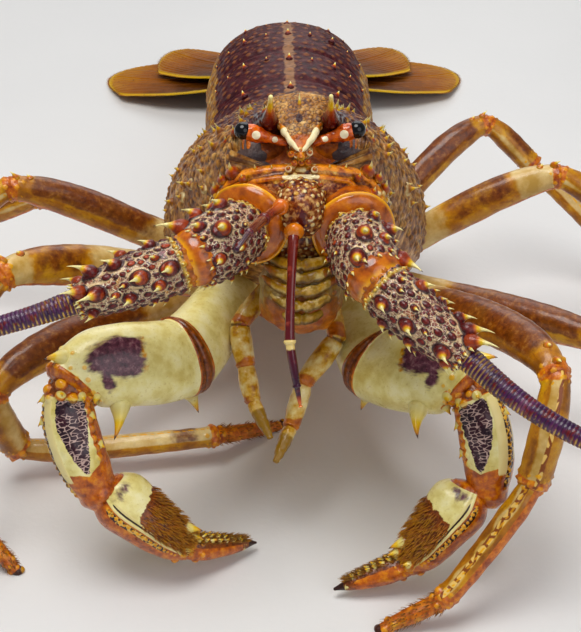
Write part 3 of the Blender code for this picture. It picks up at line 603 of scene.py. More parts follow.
def spine(piece, root, way, length, radius, lean=None, sides=12, rows=10, bulb=0.45, **masks):
    """A spine with a swollen foot, from root along way and bending towards lean."""
    lean = way if lean is None else unit(lean)
    centre, rise = bent(root, way, lean, length, np.concatenate(([-SPINE_SUNK],
                                                                 np.linspace(0, 1, rows - 1))))
    size = radius * ((1 - bulb) * (1 - rise) ** 0.9 + bulb * np.exp(-(rise / 0.3) ** 2)) + 0.04
    side = unit(np.cross(way, UP + 0.3 * ACROSS))
    points = whorl(centre, size, side, np.cross(way, side), sides)
    points = np.concatenate((points, (centre[0], centre[-1] + unit(lean) * 0.05)))
    tip = np.concatenate((np.repeat(rise, sides), (0.0, 1.0)))
    piece.add(points, tube_faces(rows, sides), tip=tip, **masks)


def spine_on(piece, tube, t, q, length, radius, lean, **more):
    """A spine set on a tube, leaning along it, or back where lean is below 0."""
    p, normal, along, place = tube.place_at(t, q)
    way = unit(normal + along * lean * 0.4)
    spine(piece, p - normal * 0.2, way, length, radius, normal * 0.4 + along * lean, place=place, **more)


def rgb(red, green, blue):
    """A colour as seen on a screen, 0 to 255, in the shader's own scale."""
    c = np.array((red, green, blue)) / 255
    c = np.where(c <= 0.04045, c / 12.92, ((c + 0.055) / 1.055) ** 2.4)
    return (*[float(x) for x in c], 1.0)


# How much deeper the colours of the animal are made than they are written
COLOUR_DEPTH = 1.25


class Paint:
    """A material built from nodes. Sizes of patterns are in millimetres."""

    def __init__(self, name):
        self.material = bpy.data.materials.new(name)
        self.material.use_nodes = True
        self.tree = self.material.node_tree
        self.shader = self.tree.nodes["Principled BSDF"]
        self.object_millimetres = None
        self.depth = COLOUR_DEPTH

    def node(self, kind, **settings):
        """A new node with its settings made."""
        made = self.tree.nodes.new(kind)
        for key, value in settings.items():
            setattr(made, key, value)
        return made

    def put(self, socket, value):
        """Links the output of a node to a socket, or sets a number or a colour there."""
        if isinstance(value, bpy.types.NodeSocket):
            self.tree.links.new(value, socket)
        else:
            socket.default_value = rgb(*value) if isinstance(value, tuple) else value

    def math(self, operation, a, b=0.0, c=0.0):
        """The result of a sum of up to three values."""
        made = self.node("ShaderNodeMath", operation=operation)
        for socket, value in zip(made.inputs, (a, b, c)):
            self.put(socket, value)
        return made.outputs[0]

    def times(self, a, b):
        """The product of two values."""
        return self.math("MULTIPLY", a, b)

    def mask(self, name):
        """A mask that the points of the piece carry."""
        return self.node("ShaderNodeAttribute", attribute_name=name).outputs["Fac"]

    def own_place(self, stretch=(1, 1, 1)):
        """Coordinates along and around the piece itself, in millimetres."""
        place = self.node("ShaderNodeAttribute", attribute_name="place").outputs["Vector"]
        return self.stretched(place, stretch)

    def stretched(self, vector, stretch):
        """A vector with each of its parts multiplied by its own factor."""
        made = self.node("ShaderNodeVectorMath", operation="MULTIPLY")
        self.put(made.inputs[0], vector)
        made.inputs[1].default_value = stretch
        return made.outputs[0]

    def object_place(self):
        """Places in the model's frame, in millimetres."""
        if self.object_millimetres is None:
            where = self.node("ShaderNodeTexCoord").outputs["Object"]
            self.object_millimetres = self.stretched(where, (1 / MM, 1 / MM, 1 / MM))
        return self.object_millimetres

    def noise(self, size, detail=3.0, rough=0.55, at=None):
        """Cloudy noise whose lumps are about size across."""
        made = self.node("ShaderNodeTexNoise")
        self.put(made.inputs["Vector"], at or self.object_place())
        for name, value in (("Scale", 1.0 / size), ("Detail", detail), ("Roughness", rough)):
            made.inputs[name].default_value = value
        return made.outputs["Fac"]

    def uneven(self, size, by, least):
        """Cloudy noise that runs from least to least + by."""
        return self.math("MULTIPLY_ADD", self.noise(size), by, least)

    def cells(self, size, feature="F1", uneven=1.0, at=None):
        """Distances in a pattern of cells about size across."""
        made = self.node("ShaderNodeTexVoronoi", feature=feature)
        self.put(made.inputs["Vector"], at or self.object_place())
        made.inputs["Scale"].default_value = 1.0 / size
        made.inputs["Randomness"].default_value = uneven
        return made.outputs["Distance"]

    def between(self, low, high, value):
        """0 below low and 1 above high, or the reverse where low is the larger."""
        made = self.node("ShaderNodeMapRange", interpolation_type="SMOOTHSTEP")
        self.put(made.inputs["Value"], value)
        flip = low > high
        made.inputs["From Min"].default_value = min(low, high)
        made.inputs["From Max"].default_value = max(low, high)
        made.inputs["To Min"].default_value = 1.0 if flip else 0.0
        made.inputs["To Max"].default_value = 0.0 if flip else 1.0
        return made.outputs["Result"]

    def ramp(self, value, *stops):
        """Colours along a value: each stop is a place from 0 to 1 and its red, green and blue."""
        made = self.node("ShaderNodeValToRGB")
        self.put(made.inputs["Fac"], value)
        elements = made.color_ramp.elements
        elements[0].position, elements[-1].position = stops[0][0], stops[-1][0]
        for stop in stops[1:-1]:
            elements.new(stop[0])
        for element, (_, *colour) in zip(elements, stops):
            element.color = rgb(*colour)
        return made.outputs["Color"]

    def blend(self, share, a, b):
        """Colour a, and b where the share is 1."""
        made = self.node("ShaderNodeMix", data_type="RGBA")
        colour_a, colour_b = (socket for socket in made.inputs if socket.type == "RGBA")
        self.put(made.inputs["Factor"], share)
        self.put(colour_a, a)
        self.put(colour_b, b)
        return next(socket for socket in made.outputs if socket.type == "RGBA")

    def over(self, base, share, strength, colour):
        """A base colour with another laid over it, only so strong."""
        return self.blend(self.times(share, strength), base, colour)

    def ragged(self, mask, by, size, low=0.4, high=0.6, at=None):
        """A mask with its edge broken up by noise."""
        wobble = self.math("MULTIPLY_ADD", self.noise(size, 3.0, 0.6, at), by, -by / 2)
        return self.between(low, high, self.math("ADD", mask, wobble))

    def patch(self, base, name, by, size, colour):
        """A base colour with another where the named mask is, its edge broken up by noise."""
        return self.blend(self.ragged(self.mask(name), by, size), base, colour)

    def finish(self, colour, rough, heights=(), coat=0.0, coat_rough=0.1, shine=0.35):
        """Links colour and roughness, and bumps given as (height in millimetres, value)."""
        shader = self.shader
        deep = self.node("ShaderNodeHueSaturation")
        deep.inputs["Saturation"].default_value = self.depth
        self.put(deep.inputs["Color"], colour)
        self.put(shader.inputs["Base Color"], deep.outputs["Color"])
        self.put(shader.inputs["Roughness"], rough)
        shader.inputs["Specular IOR Level"].default_value = shine
        shader.inputs["Coat Weight"].default_value = coat
        shader.inputs["Coat Roughness"].default_value = coat_rough
        normal = None
        for height, value in heights:
            made = self.node("ShaderNodeBump")
            made.inputs["Strength"].default_value = 1.0
            made.inputs["Distance"].default_value = height * MM
            self.put(made.inputs["Height"], value)
            if normal is not None:
                self.put(made.inputs["Normal"], normal)
            normal = made.outputs["Normal"]
        if normal is not None:
            self.put(shader.inputs["Normal"], normal)
        return self.material


CREAM, BUTTER, BROWN_BLACK = (246, 236, 180), (226, 184, 70), (40, 20, 14)
ORANGE, RUST = (222, 112, 28), (150, 52, 14)


def spine_colour(paint, base, first=(0.34, *RUST), second=(0.46, *ORANGE)):
    """Over a base colour, the colours of a spine from its foot to its point."""
    tip = paint.mask("tip")
    pale_from = second[0] + 0.09
    run = paint.ramp(tip, (0.0, *first[1:]), first, second,
                     (pale_from, *BUTTER), (pale_from + 0.16, *CREAM), (1.0, *CREAM))
    colour = paint.blend(paint.between(0.05, 0.34, tip), base, run)
    dark = paint.times(paint.mask("dark_tip"), paint.between(0.86, 0.95, tip))
    return paint.blend(dark, colour, BROWN_BLACK)


def net_paint():
    """The antennae: dark maroon knobs in a pale lilac net, with yellow-tipped spines."""
    paint = Paint("antenna_net")
    cloud = paint.noise(5.0, 4.0)
    fine = paint.cells(0.9, "DISTANCE_TO_EDGE")
    skin = paint.ramp(cloud, (0.3, 70, 28, 36), (0.48, 124, 72, 76), (0.62, 166, 118, 98),
                      (0.75, 210, 164, 96))
    lines = paint.between(0.09, 0.03, fine)
    broken = paint.times(lines, paint.between(0.34, 0.46, paint.noise(2.2, 2.0)))
    skin = paint.over(skin, broken, 0.95, (250, 236, 208))
    grit = paint.between(0.52, 0.6, paint.noise(1.0, 2.0))
    skin = paint.over(skin, grit, 0.9, (40, 14, 18))
    knob = paint.mask("knob")
    knob_colour = paint.ramp(paint.noise(1.6, 3.0), (0.3, 52, 6, 10), (0.55, 98, 14, 14),
                             (0.8, 146, 42, 20))
    knob_colour = paint.blend(paint.mask("ruddy"), knob_colour, (156, 58, 20))
    knob_colour = paint.blend(paint.between(0.58, 0.66, paint.noise(7.0, 1.0)), knob_colour, (168, 62, 22))
    halo = paint.times(paint.mask("ring"), paint.between(0.4, 0.6, paint.noise(1.5, 2.0)))
    pale_foot = paint.blend(paint.times(halo, 0.85), skin, (240, 216, 176))
    outline = paint.times(paint.between(0.02, 0.1, knob), paint.between(0.42, 0.26, knob))
    colour = paint.blend(paint.between(0.1, 0.28, knob), pale_foot, knob_colour)
    colour = paint.over(colour, outline, 0.8, (30, 8, 16))
    colour = paint.patch(colour, "collar", 0.3, 2.0,
                         paint.ramp(cloud, (0.35, 150, 74, 18), (0.65, 206, 122, 40)))
    colour = paint.blend(paint.mask("rim"), colour, (238, 206, 130))
    colour = spine_colour(paint, colour, (0.2, 108, 20, 14), (0.28, 204, 104, 36))
    bumps = ((0.12, lines), (0.15, paint.noise(0.6, 3.0)))
    return paint.finish(colour, paint.uneven(1.5, 0.25, 0.2), bumps, coat=0.35, coat_rough=0.12)


def collar_paint():
    """The smooth cups at the roots of the antennae and their joints: glossy orange-brown."""
    paint = Paint("antenna_cup")
    cloud = paint.noise(4.0, 4.0, 0.6)
    base = paint.ramp(cloud, (0.3, 122, 48, 10), (0.5, 182, 90, 22), (0.7, 216, 130, 48))
    base = paint.patch(base, "shade", 0.5, 3.0, (92, 36, 16))
    base = paint.blend(paint.mask("rim"), base, (250, 184, 78))
    base = paint.patch(base, "pale", 0.4, 1.6, (236, 214, 160))
    colour = spine_colour(paint, base)
    bumps = ((0.1, paint.noise(1.2, 3.0)),)
    return paint.finish(colour, paint.uneven(2.0, 0.2, 0.12), bumps, coat=0.6, coat_rough=0.08)


def shell_paint():
    """The carapace: pinkish brown with dark mottling down its middle, pale knobs and yellow spines."""
    paint = Paint("carapace_shell")
    cloud = paint.noise(9.0, 5.0, 0.65)
    spots = paint.noise(3.2, 3.0, 0.6)
    base = paint.ramp(spots, (0.32, 94, 60, 48), (0.46, 158, 114, 78), (0.6, 208, 166, 118),
                      (0.75, 236, 208, 160))
    base = paint.over(base, paint.between(0.52, 0.66, cloud), 0.7, (100, 62, 58))
    base = paint.patch(base, "middle", 0.6, 6.0, paint.ramp(spots, (0.35, 46, 20, 30), (0.65, 96, 54, 56)))
    knob = paint.mask("knob")
    knob_colour = paint.ramp(paint.noise(5.0), (0.35, 112, 66, 42), (0.55, 186, 140, 94),
                             (0.7, 228, 200, 152))
    colour = paint.over(base, paint.between(0.3, 0.7, knob), 0.6, knob_colour)
    colour = paint.over(colour, paint.mask("ring"), 0.9, (44, 22, 22))
    colour = paint.patch(colour, "orange", 0.4, 2.5,
                         paint.ramp(spots, (0.35, 132, 56, 14), (0.65, 216, 116, 36)))
    # Slate grey: painted shade on the floor of each eye bowl, and the crown's own greyish tone.
    colour = paint.patch(colour, "slate", 0.6, 2.0,
                         paint.ramp(spots, (0.35, 58, 48, 52), (0.65, 104, 88, 84)))
    colour = paint.patch(colour, "pale", 0.4, 1.5, (236, 222, 178))
    colour = paint.patch(colour, "dark", 0.4, 1.0, (48, 14, 16))
    colour = spine_colour(paint, colour, (0.3, 128, 74, 34), (0.42, 206, 150, 62))
    bumps = ((0.35, paint.noise(0.9, 4.0)),)
    return paint.finish(colour, paint.uneven(2.0, 0.3, 0.3), bumps, coat=0.15, coat_rough=0.2)


def horn_paint():
    """The brow horns: maroon at the foot, red shaft, yellow point, and painted shade over the outer flank."""
    paint = Paint("horn")
    run = paint.mask("run")
    wave = paint.math("MULTIPLY_ADD", paint.noise(2.5, 3.0), 0.2, -0.1)
    run = paint.math("ADD", run, wave)
    colour = paint.ramp(run, (0.0, 46, 14, 18), (0.3, 58, 6, 12), (0.48, 90, 8, 10),
                        (0.6, 136, 26, 10), (0.7, 190, 84, 18), (0.8, 232, 192, 84), (1.0, *CREAM))
    # Painted shade: the outer flank of each horn is darkened, short of the yellow point.
    slate = paint.times(paint.ragged(paint.mask("slate"), 0.4, 2.0), paint.between(0.75, 0.55, run))
    colour = paint.blend(slate, colour, (46, 22, 28))
    knob = paint.between(0.3, 0.6, paint.mask("knob"))
    colour = paint.over(colour, knob, 0.25, (190, 110, 60))
    colour = spine_colour(paint, colour)
    return paint.finish(colour, 0.32, ((0.2, paint.noise(0.8, 3.0)),), coat=0.4, coat_rough=0.12)


def face_paint():
    """The front of the head: mottled orange and brown bands, cream knobs and dark red spots."""
    paint = Paint("face")
    spots = paint.noise(2.2, 4.0, 0.6)
    base = paint.ramp(spots, (0.32, 58, 26, 24), (0.46, 120, 66, 34), (0.58, 168, 116, 66),
                      (0.72, 214, 184, 128))
    plate = paint.ramp(paint.noise(1.6, 3.0), (0.36, 60, 18, 22), (0.5, 130, 76, 56), (0.66, 204, 164, 122))
    base = paint.patch(base, "plate", 0.3, 2.0, plate)
    orange = paint.ramp(spots, (0.35, 160, 72, 20), (0.62, 232, 150, 62))
    base = paint.patch(base, "orange", 0.3, 1.5, orange)
    base = paint.patch(base, "maroon", 0.3, 1.2, (84, 14, 20))
    # Painted shade: dark slate on the head's top behind the arch, where it lies under the eyes.
    base = paint.patch(base, "slate", 0.3, 2.0, (42, 32, 40))
    knob = paint.between(0.2, 0.55, paint.mask("knob"))
    knob_colour = paint.ramp(paint.noise(3.0), (0.4, 206, 158, 90), (0.6, 244, 232, 188))
    base = paint.over(base, knob, 0.9, knob_colour)
    base = paint.patch(base, "pale", 0.3, 1.0, (240, 228, 190))
    colour = spine_colour(paint, base)
    bumps = ((0.25, paint.noise(0.7, 3.0)),)
    return paint.finish(colour, paint.uneven(2.0, 0.25, 0.22), bumps, coat=0.35, coat_rough=0.12)


def claw_paint():
    """The first legs: pale cream green, purple patches, orange joints and edges, rust bristle fields."""
    paint = Paint("first_leg")
    cloud = paint.noise(7.0, 4.0, 0.55)
    base = paint.ramp(cloud, (0.34, 212, 196, 134), (0.5, 233, 223, 166), (0.66, 243, 236, 192))
    speck = paint.between(0.6, 0.72, paint.noise(0.9, 2.0))
    base = paint.over(base, speck, 0.25, (166, 134, 78))
    base = paint.patch(base, "fringe", 0.5, 2.0, (206, 138, 58))
    purple = paint.ramp(paint.noise(1.6, 4.0, 0.65), (0.36, 56, 30, 40), (0.55, 98, 62, 72),
                        (0.75, 158, 128, 128))
    streaky = paint.own_place((1.0, 1.0, 0.4))
    base = paint.blend(paint.ragged(paint.mask("patch"), 1.3, 2.6, 0.3, 0.72, streaky), base, purple)
    wavy = paint.own_place((0.8, 1.0, 2.0))
    net = paint.cells(2.0, "DISTANCE_TO_EDGE", 0.85, wavy)
    worms = paint.times(paint.between(0.1, 0.045, net), paint.between(0.38, 0.5, paint.noise(2.4, 2.0)))
    netted = paint.blend(worms, paint.ramp(cloud, (0.4, 32, 12, 24), (0.6, 58, 26, 36)), (196, 172, 164))
    base = paint.blend(paint.ragged(paint.mask("net_patch"), 0.9, 1.6, 0.42, 0.54), base, netted)
    orange = paint.ramp(paint.noise(2.6, 4.0, 0.6), (0.34, 132, 54, 10), (0.52, 192, 96, 20),
                        (0.7, 226, 148, 54))
    base = paint.patch(base, "orange", 0.35, 2.2, orange)
    deep = paint.ramp(paint.noise(1.4, 3.0), (0.35, 88, 38, 10), (0.65, 146, 74, 20))
    base = paint.blend(paint.ragged(paint.mask("rust"), 0.8, 1.8, 0.42, 0.54), base, deep)
    beads = paint.cells(1.3, "F1", 0.7)
    beaded = paint.blend(paint.between(0.62, 0.5, beads), (232, 196, 130), (46, 22, 18))
    base = paint.patch(base, "beads", 0.6, 1.4, beaded)
    base = paint.patch(base, "dark", 0.3, 1.2, (44, 20, 16))
    knob = paint.between(0.25, 0.6, paint.mask("knob"))
    base = paint.blend(paint.times(knob, paint.mask("lit")), base, (240, 172, 74))
    base = paint.patch(base, "pale", 0.3, 1.2, (234, 220, 168))
    tip = paint.mask("tip")
    spine = paint.ramp(tip, (0.0, 214, 206, 158), (0.4, 232, 214, 142), (0.62, 230, 184, 60),
                       (0.84, 198, 126, 26), (0.9, 66, 30, 14), (1.0, 40, 18, 12))
    colour = paint.blend(paint.between(0.02, 0.2, tip), base, spine)
    bumps = ((0.12, paint.noise(0.8, 3.0)), (0.1, paint.noise(4.0, 2.0)))
    return paint.finish(colour, paint.uneven(2.4, 0.25, 0.18), bumps, coat=0.35, coat_rough=0.12)


def walking_paint():
    """The walking legs: tan, with dark purple-brown patches and orange edges and joints."""
    paint = Paint("walking_leg")
    cloud = paint.noise(8.0, 4.0, 0.6)
    base = paint.ramp(cloud, (0.34, 134, 82, 32), (0.5, 176, 118, 56), (0.68, 212, 168, 98))
    marks = paint.between(0.56, 0.64, paint.noise(2.0, 3.0, 0.6, paint.own_place((1, 1, 0.45))))
    base = paint.over(base, marks, 0.45, (122, 66, 34))
    cream = paint.ramp(cloud, (0.35, 206, 178, 122), (0.65, 234, 222, 180))
    base = paint.over(base, paint.ragged(paint.mask("cream"), 0.8, 6.0, 0.3, 0.8), 0.7, cream)
    dark = paint.ramp(paint.noise(2.0, 4.0, 0.65), (0.34, 74, 40, 34), (0.56, 116, 72, 56),
                      (0.76, 162, 122, 88))
    base = paint.over(base, paint.ragged(paint.mask("patch"), 1.1, 5.0, 0.3, 0.75), 0.9, dark)
    orange = paint.ramp(paint.noise(2.6, 4.0, 0.6), (0.34, 142, 58, 10), (0.52, 200, 104, 22),
                        (0.7, 230, 150, 56))
    base = paint.patch(base, "orange", 0.5, 3.0, orange)
    beads = paint.cells(2.2, "DISTANCE_TO_EDGE", 0.9, paint.own_place((1.0, 1.0, 0.7)))
    beaded = paint.blend(paint.between(0.2, 0.1, beads), (232, 200, 140), (132, 70, 32))
    base = paint.patch(base, "beads", 0.3, 1.2, beaded)
    base = paint.patch(base, "dark", 0.3, 1.5, (58, 26, 16))
    knob = paint.between(0.25, 0.6, paint.mask("knob"))
    base = paint.over(base, knob, 0.6, (238, 176, 84))
    colour = spine_colour(paint, base, (0.3, 190, 96, 26), (0.45, 220, 150, 50))
    bumps = ((0.12, paint.noise(0.8, 3.0)),)
    return paint.finish(colour, paint.uneven(2.4, 0.25, 0.25), bumps, coat=0.3, coat_rough=0.15)


def whip_paint():
    """The antennal whips: violet and rusty rings with dark seams and cream ticks."""
    paint = Paint("whip")
    cloud = paint.noise(6.0, 3.0)
    base = paint.ramp(cloud, (0.35, 46, 20, 52), (0.55, 72, 36, 72), (0.75, 116, 74, 92))
    rusty = paint.between(0.5, 0.6, paint.noise(2.4, 3.0))
    base = paint.over(base, rusty, 0.7, (112, 50, 34))
    base = paint.blend(paint.mask("seam"), base, (36, 16, 42))
    tick = paint.times(paint.mask("tick"), paint.between(0.36, 0.56, paint.noise(1.8, 2.0)))
    base = paint.blend(tick, base, (224, 188, 120))
    base = paint.blend(paint.mask("dim"), base, (150, 84, 52))
    return paint.finish(base, 0.35, ((0.1, paint.noise(0.5, 2.0)),), coat=0.3, coat_rough=0.15)


def abdomen_paint():
    """The tail: dark maroon over the back with a paler midline, tan at its sides and edges."""
    paint = Paint("abdomen")
    spots = paint.noise(2.6, 4.0, 0.65)
    back = paint.ramp(spots, (0.34, 40, 14, 20), (0.52, 72, 34, 38), (0.72, 104, 66, 60))
    sides = paint.ramp(spots, (0.34, 104, 62, 36), (0.5, 166, 120, 70), (0.7, 212, 180, 122))
    colour = paint.patch(back, "flank", 0.5, 4.0, sides)
    line = paint.ragged(paint.mask("line"), 0.8, 3.0)
    colour = paint.over(colour, line, 0.7, (172, 138, 112))
    scale = paint.between(0.3, 0.7, paint.mask("knob"))
    colour = paint.over(colour, scale, 0.35, (176, 128, 96))
    colour = paint.over(colour, paint.mask("ring"), 0.5, (40, 16, 20))
    colour = paint.patch(colour, "orange", 0.5, 3.0, (206, 124, 44))
    colour = paint.patch(colour, "belly", 0.4, 3.0, (206, 178, 120))
    colour = spine_colour(paint, colour)
    bumps = ((0.2, paint.noise(0.8, 3.0)),)
    return paint.finish(colour, paint.uneven(2.0, 0.25, 0.35), bumps, coat=0.08, coat_rough=0.2, shine=0.22)


def fan_paint():
    """The tail fan: blades darkest at their roots, partly their own dark brown and partly painted shadow
    under the tail's end and the overlapping blades, amber further out, with fine rays and an ochre edge.
    """
    paint = Paint("tail_fan")
    rays = paint.math("SINE", paint.times(paint.mask("ray"), 70.0))
    cloud = paint.noise(6.0, 4.0, 0.6)
    run = paint.math("ADD", paint.mask("run"), paint.math("MULTIPLY_ADD", cloud, 0.5, -0.25))
    # Dark towards the roots: the blades' own brown, with painted shadow under the tail's end and where the
    # blades overlap.
    colour = paint.ramp(run, (0.05, 42, 20, 4), (0.28, 66, 32, 2), (0.5, 112, 60, 2), (0.75, 156, 88, 4),
                        (1.0, 186, 124, 22))
    colour = paint.over(colour, paint.between(0.3, 1.0, rays), 0.35, (128, 66, 20))
    colour = paint.over(colour, paint.mask("edge"), 0.7, (240, 204, 110))
    speck = paint.between(0.62, 0.7, paint.noise(1.2, 2.0))
    colour = paint.over(colour, speck, 0.5, (74, 34, 18))
    knob = paint.between(0.3, 0.7, paint.mask("knob"))
    colour = paint.over(colour, knob, 0.6, (236, 190, 96))
    height = paint.times(rays, paint.between(0.3, 0.6, paint.mask("run")))
    bumps = ((0.2, height), (0.15, paint.noise(0.8, 3.0)))
    return paint.finish(colour, 0.42, bumps, coat=0.08, coat_rough=0.2, shine=0.22)


def belly_paint():
    """Mouthparts and underside: cream with orange-brown patches, dark joints on the small limbs, and painted
    light and shade on the mouth bands and the block behind them.
    """
    paint = Paint("belly")
    cloud = paint.noise(4.5, 4.0, 0.6)
    colour = paint.ramp(cloud, (0.32, 150, 92, 40), (0.46, 206, 168, 104), (0.62, 230, 212, 160),
                        (0.8, 240, 230, 196))
    colour = paint.patch(colour, "orange", 0.5, 2.2,
                         paint.ramp(cloud, (0.35, 146, 66, 18), (0.65, 212, 128, 46)))
    # Cream: the pale spines of the small limbs, and painted light on the side of each mouth band that faces
    # up and forward.
    colour = paint.patch(colour, "pale", 0.3, 1.5, (238, 226, 178))
    colour = paint.patch(colour, "olive", 0.4, 2.0, (146, 110, 44))
    # Dark brown: painted shade low on the mouth block and under each mouth band, and the dark joints of the
    # small limbs.
    colour = paint.over(colour, paint.ragged(paint.mask("dark"), 0.5, 1.5, 0.3, 0.8), 0.85, (74, 38, 14))
    return paint.finish(colour, 0.35, ((0.15, paint.noise(0.9, 3.0)),), coat=0.3, coat_rough=0.15)


def feeler_paint():
    """The small feelers: translucent orange root, purple red rods, cream joints."""
    paint = Paint("small_feeler")
    cloud = paint.noise(3.0, 3.0)
    run = paint.mask("run")
    colour = paint.ramp(run, (0.0, 224, 132, 60), (0.16, 206, 100, 40), (0.24, 116, 38, 28),
                        (0.42, 92, 28, 30), (0.56, 84, 30, 40), (0.7, 52, 20, 40), (0.86, 56, 24, 44),
                        (0.93, 206, 92, 24), (1.0, 226, 120, 36))
    colour = paint.over(colour, paint.between(0.55, 0.7, cloud), 0.4, (190, 120, 110))
    colour = paint.patch(colour, "pale", 0.3, 1.0, (236, 214, 158))
    return paint.finish(colour, 0.22, ((0.08, paint.noise(0.8, 2.0)),), coat=0.6, coat_rough=0.06)


def stalk_paint():
    """The eyestalks: glossy orange with pale spots."""
    paint = Paint("eye_stalk")
    cloud = paint.noise(2.0, 3.0)
    colour = paint.ramp(cloud, (0.35, 150, 48, 12), (0.6, 226, 104, 26))
    colour = paint.patch(colour, "pale", 0.25, 0.8, (246, 236, 206))
    colour = paint.blend(paint.mask("dark"), colour, (50, 18, 14))
    return paint.finish(colour, 0.22, ((0.06, paint.noise(0.6, 2.0)),), coat=0.6, coat_rough=0.06)


def eye_paint():
    """Glossy black eyes, with facets too fine to see as more than a soft bloom."""
    paint = Paint("eye")
    facets = paint.cells(0.14, "F1", 0.1)
    colour = paint.ramp(facets, (0.0, 14, 12, 16), (0.6, 6, 5, 8))
    colour = paint.blend(paint.mask("rim"), colour, (70, 30, 22))
    return paint.finish(colour, 0.1, (), coat=0.4, coat_rough=0.03, shine=0.2)


def bristle_paint():
    """Short stiff bristles: rust brown with paler points, olive brown where dark."""
    paint = Paint("bristles")
    run = paint.mask("run")
    low = paint.ramp(paint.noise(3.0, 3.0), (0.36, 112, 58, 20), (0.6, 168, 98, 32))
    colour = paint.blend(paint.between(0.3, 1.0, run), low, (196, 142, 60))
    colour = paint.blend(paint.mask("dark"), colour, (92, 66, 26))
    return paint.finish(colour, 0.5, (), coat=0.1, coat_rough=0.3)


PAINTS = {
    "net": net_paint(), "collar": collar_paint(), "shell": shell_paint(), "horn": horn_paint(),
    "face": face_paint(), "claw": claw_paint(), "walking": walking_paint(), "whip": whip_paint(),
    "abdomen": abdomen_paint(), "fan": fan_paint(), "belly": belly_paint(), "feeler": feeler_paint(),
    "stalk": stalk_paint(), "eye": eye_paint(), "bristle": bristle_paint(),
}


def noise_of(seed, p, size):
    """Smooth random values from -1 to 1 over points, with lumps about size across."""
    draw = np.random.default_rng(seed)
    total = 0.0
    for _ in range(7):
        way = unit(draw.normal(size=3)) * TURN / (size * (0.8 + 0.9 * draw.random()))
        total = total + np.sin(p @ way + draw.random() * TURN)
    return total / 4


# Carapace. Rows of spines round it: the angle of each row and how many spines it has
SHELL_ROWS = ((90, 9), (68, 9), (112, 9), (48, 9), (132, 9), (28, 8), (152, 8), (10, 6), (170, 6))
# Spines low on its flanks: place along it, angle and length
FLANK_SPINES = ((0.338, 177, 3.4), (0.251, 176, 4.4), (0.127, 350, 3.6), (0.274, 2, 6.0), (0.328, 359, 4.0),
                (0.171, 337, 3.2), (0.15, 184, 3.2))


def shell_spine_places():
    """The same rows of spines as on the solid: place along it, angle and length of each."""
    draw = np.random.default_rng(4)
    found = []
    for degrees, count in SHELL_ROWS:
        for i in range(count):
            t = 0.07 + 0.9 * (i + draw.uniform(-0.25, 0.25) + 0.5) / count
            q = math.radians(degrees + draw.uniform(-6, 6))
            found.append((t, q, (6.0 - 3.6 * t) * draw.uniform(0.55, 1.05)))
    return found


def make_carapace():
    """The carapace with its granules and spines, and the bowls that the eyes lie in."""
    point = trunk(CARAPACE, shell_swell)
    tube = Tube(point, tiers(190), 320)
    spines = shell_spine_places()
    taken = [(t, q, 1.6) for t, q, _ in spines]
    spots = scatter(point, 7, (0.55, 1.5), 9000, 1.12, lambda t, q: np.sin(q) > -0.35, taken)
    tube.stud(knobs(spots, 0.6), power=0.8, tilt=-0.2)
    behind, across, above = head_frame(tube.p)
    outward = np.abs(across)
    bowl = 1 - ((behind - 1) / 5.5) ** 2 - ((outward - 12.5) / 8.5) ** 2
    floor = -10 - 5.5 * np.sqrt(np.maximum(bowl, 0))
    drop = np.where((bowl > 0) & (above > floor), above - floor, 0)
    tube.p = tube.p - HEAD_UP * drop[..., None]
    in_bowl = step(-0.15, 0.15, bowl) * (above > -17.5)
    # Painted shade: a lens-shaped dark patch on the floor of each eye bowl, under the eye.
    lens = np.hypot((outward - 14.5) / 4.6, (above - drop + 14.0) / 2.4)
    tube.masks["knob"] *= 1 - in_bowl
    beside_eye = 0.55 * hump(27, 3.5, outward) * step(12, 2, behind)
    tube.mark(
        orange=np.maximum(in_bowl * step(19, 16, outward), beside_eye),
        slate=in_bowl * step(1.3, 0.8, lens),
        middle=step(0.35, 0.95, np.sin(tube.q)) * 0.75,
    )
    piece = tube.add_to(Piece(), (0.0, 1.2))
    for t, degrees, size in FLANK_SPINES:
        spine_on(piece, tube, t, math.radians(degrees), size, 0.9 + 0.25 * size, -0.7, bulb=0.8, pale=0.55)
    for t, q, size in spines:
        p, normal, along, place = tube.place_at(t, q)
        behind, across, _ = head_frame(p)
        if abs(across) < 22 and behind < 9:
            continue
        way, lean = unit(normal - along * 0.35), unit(normal * 0.5 - along * 0.9)
        spine(piece, p - normal * 0.4, way, size, 0.8 + 0.2 * size, lean, bulb=0.6, place=place)
    piece.build("carapace_shell", "shell", "shell", "carapace")


def horn_tube(root, tip, flat_way, wide, thick, rows, sides, bend=0.0, taper=1.5, least=0.06):
    """A curved flattened horn: its surface and a Tube over it."""
    root, tip = np.asarray(root, float), np.asarray(tip, float)
    along = unit(tip - root)
    side = unit(flat_way - along * dot(flat_way, along))
    out = np.cross(along, side)

    @surface
    def point(t, q):
        centre = root + (tip - root) * t[..., None] + HEAD_UP * (bend * np.sin(math.pi * t))[..., None]
        size = (1 - t) ** taper * (1 - least) + least
        return oval(centre, side, out, wide * size, thick * size, q)

    return point, Tube(point, tiers(rows) ** 0.9, sides)


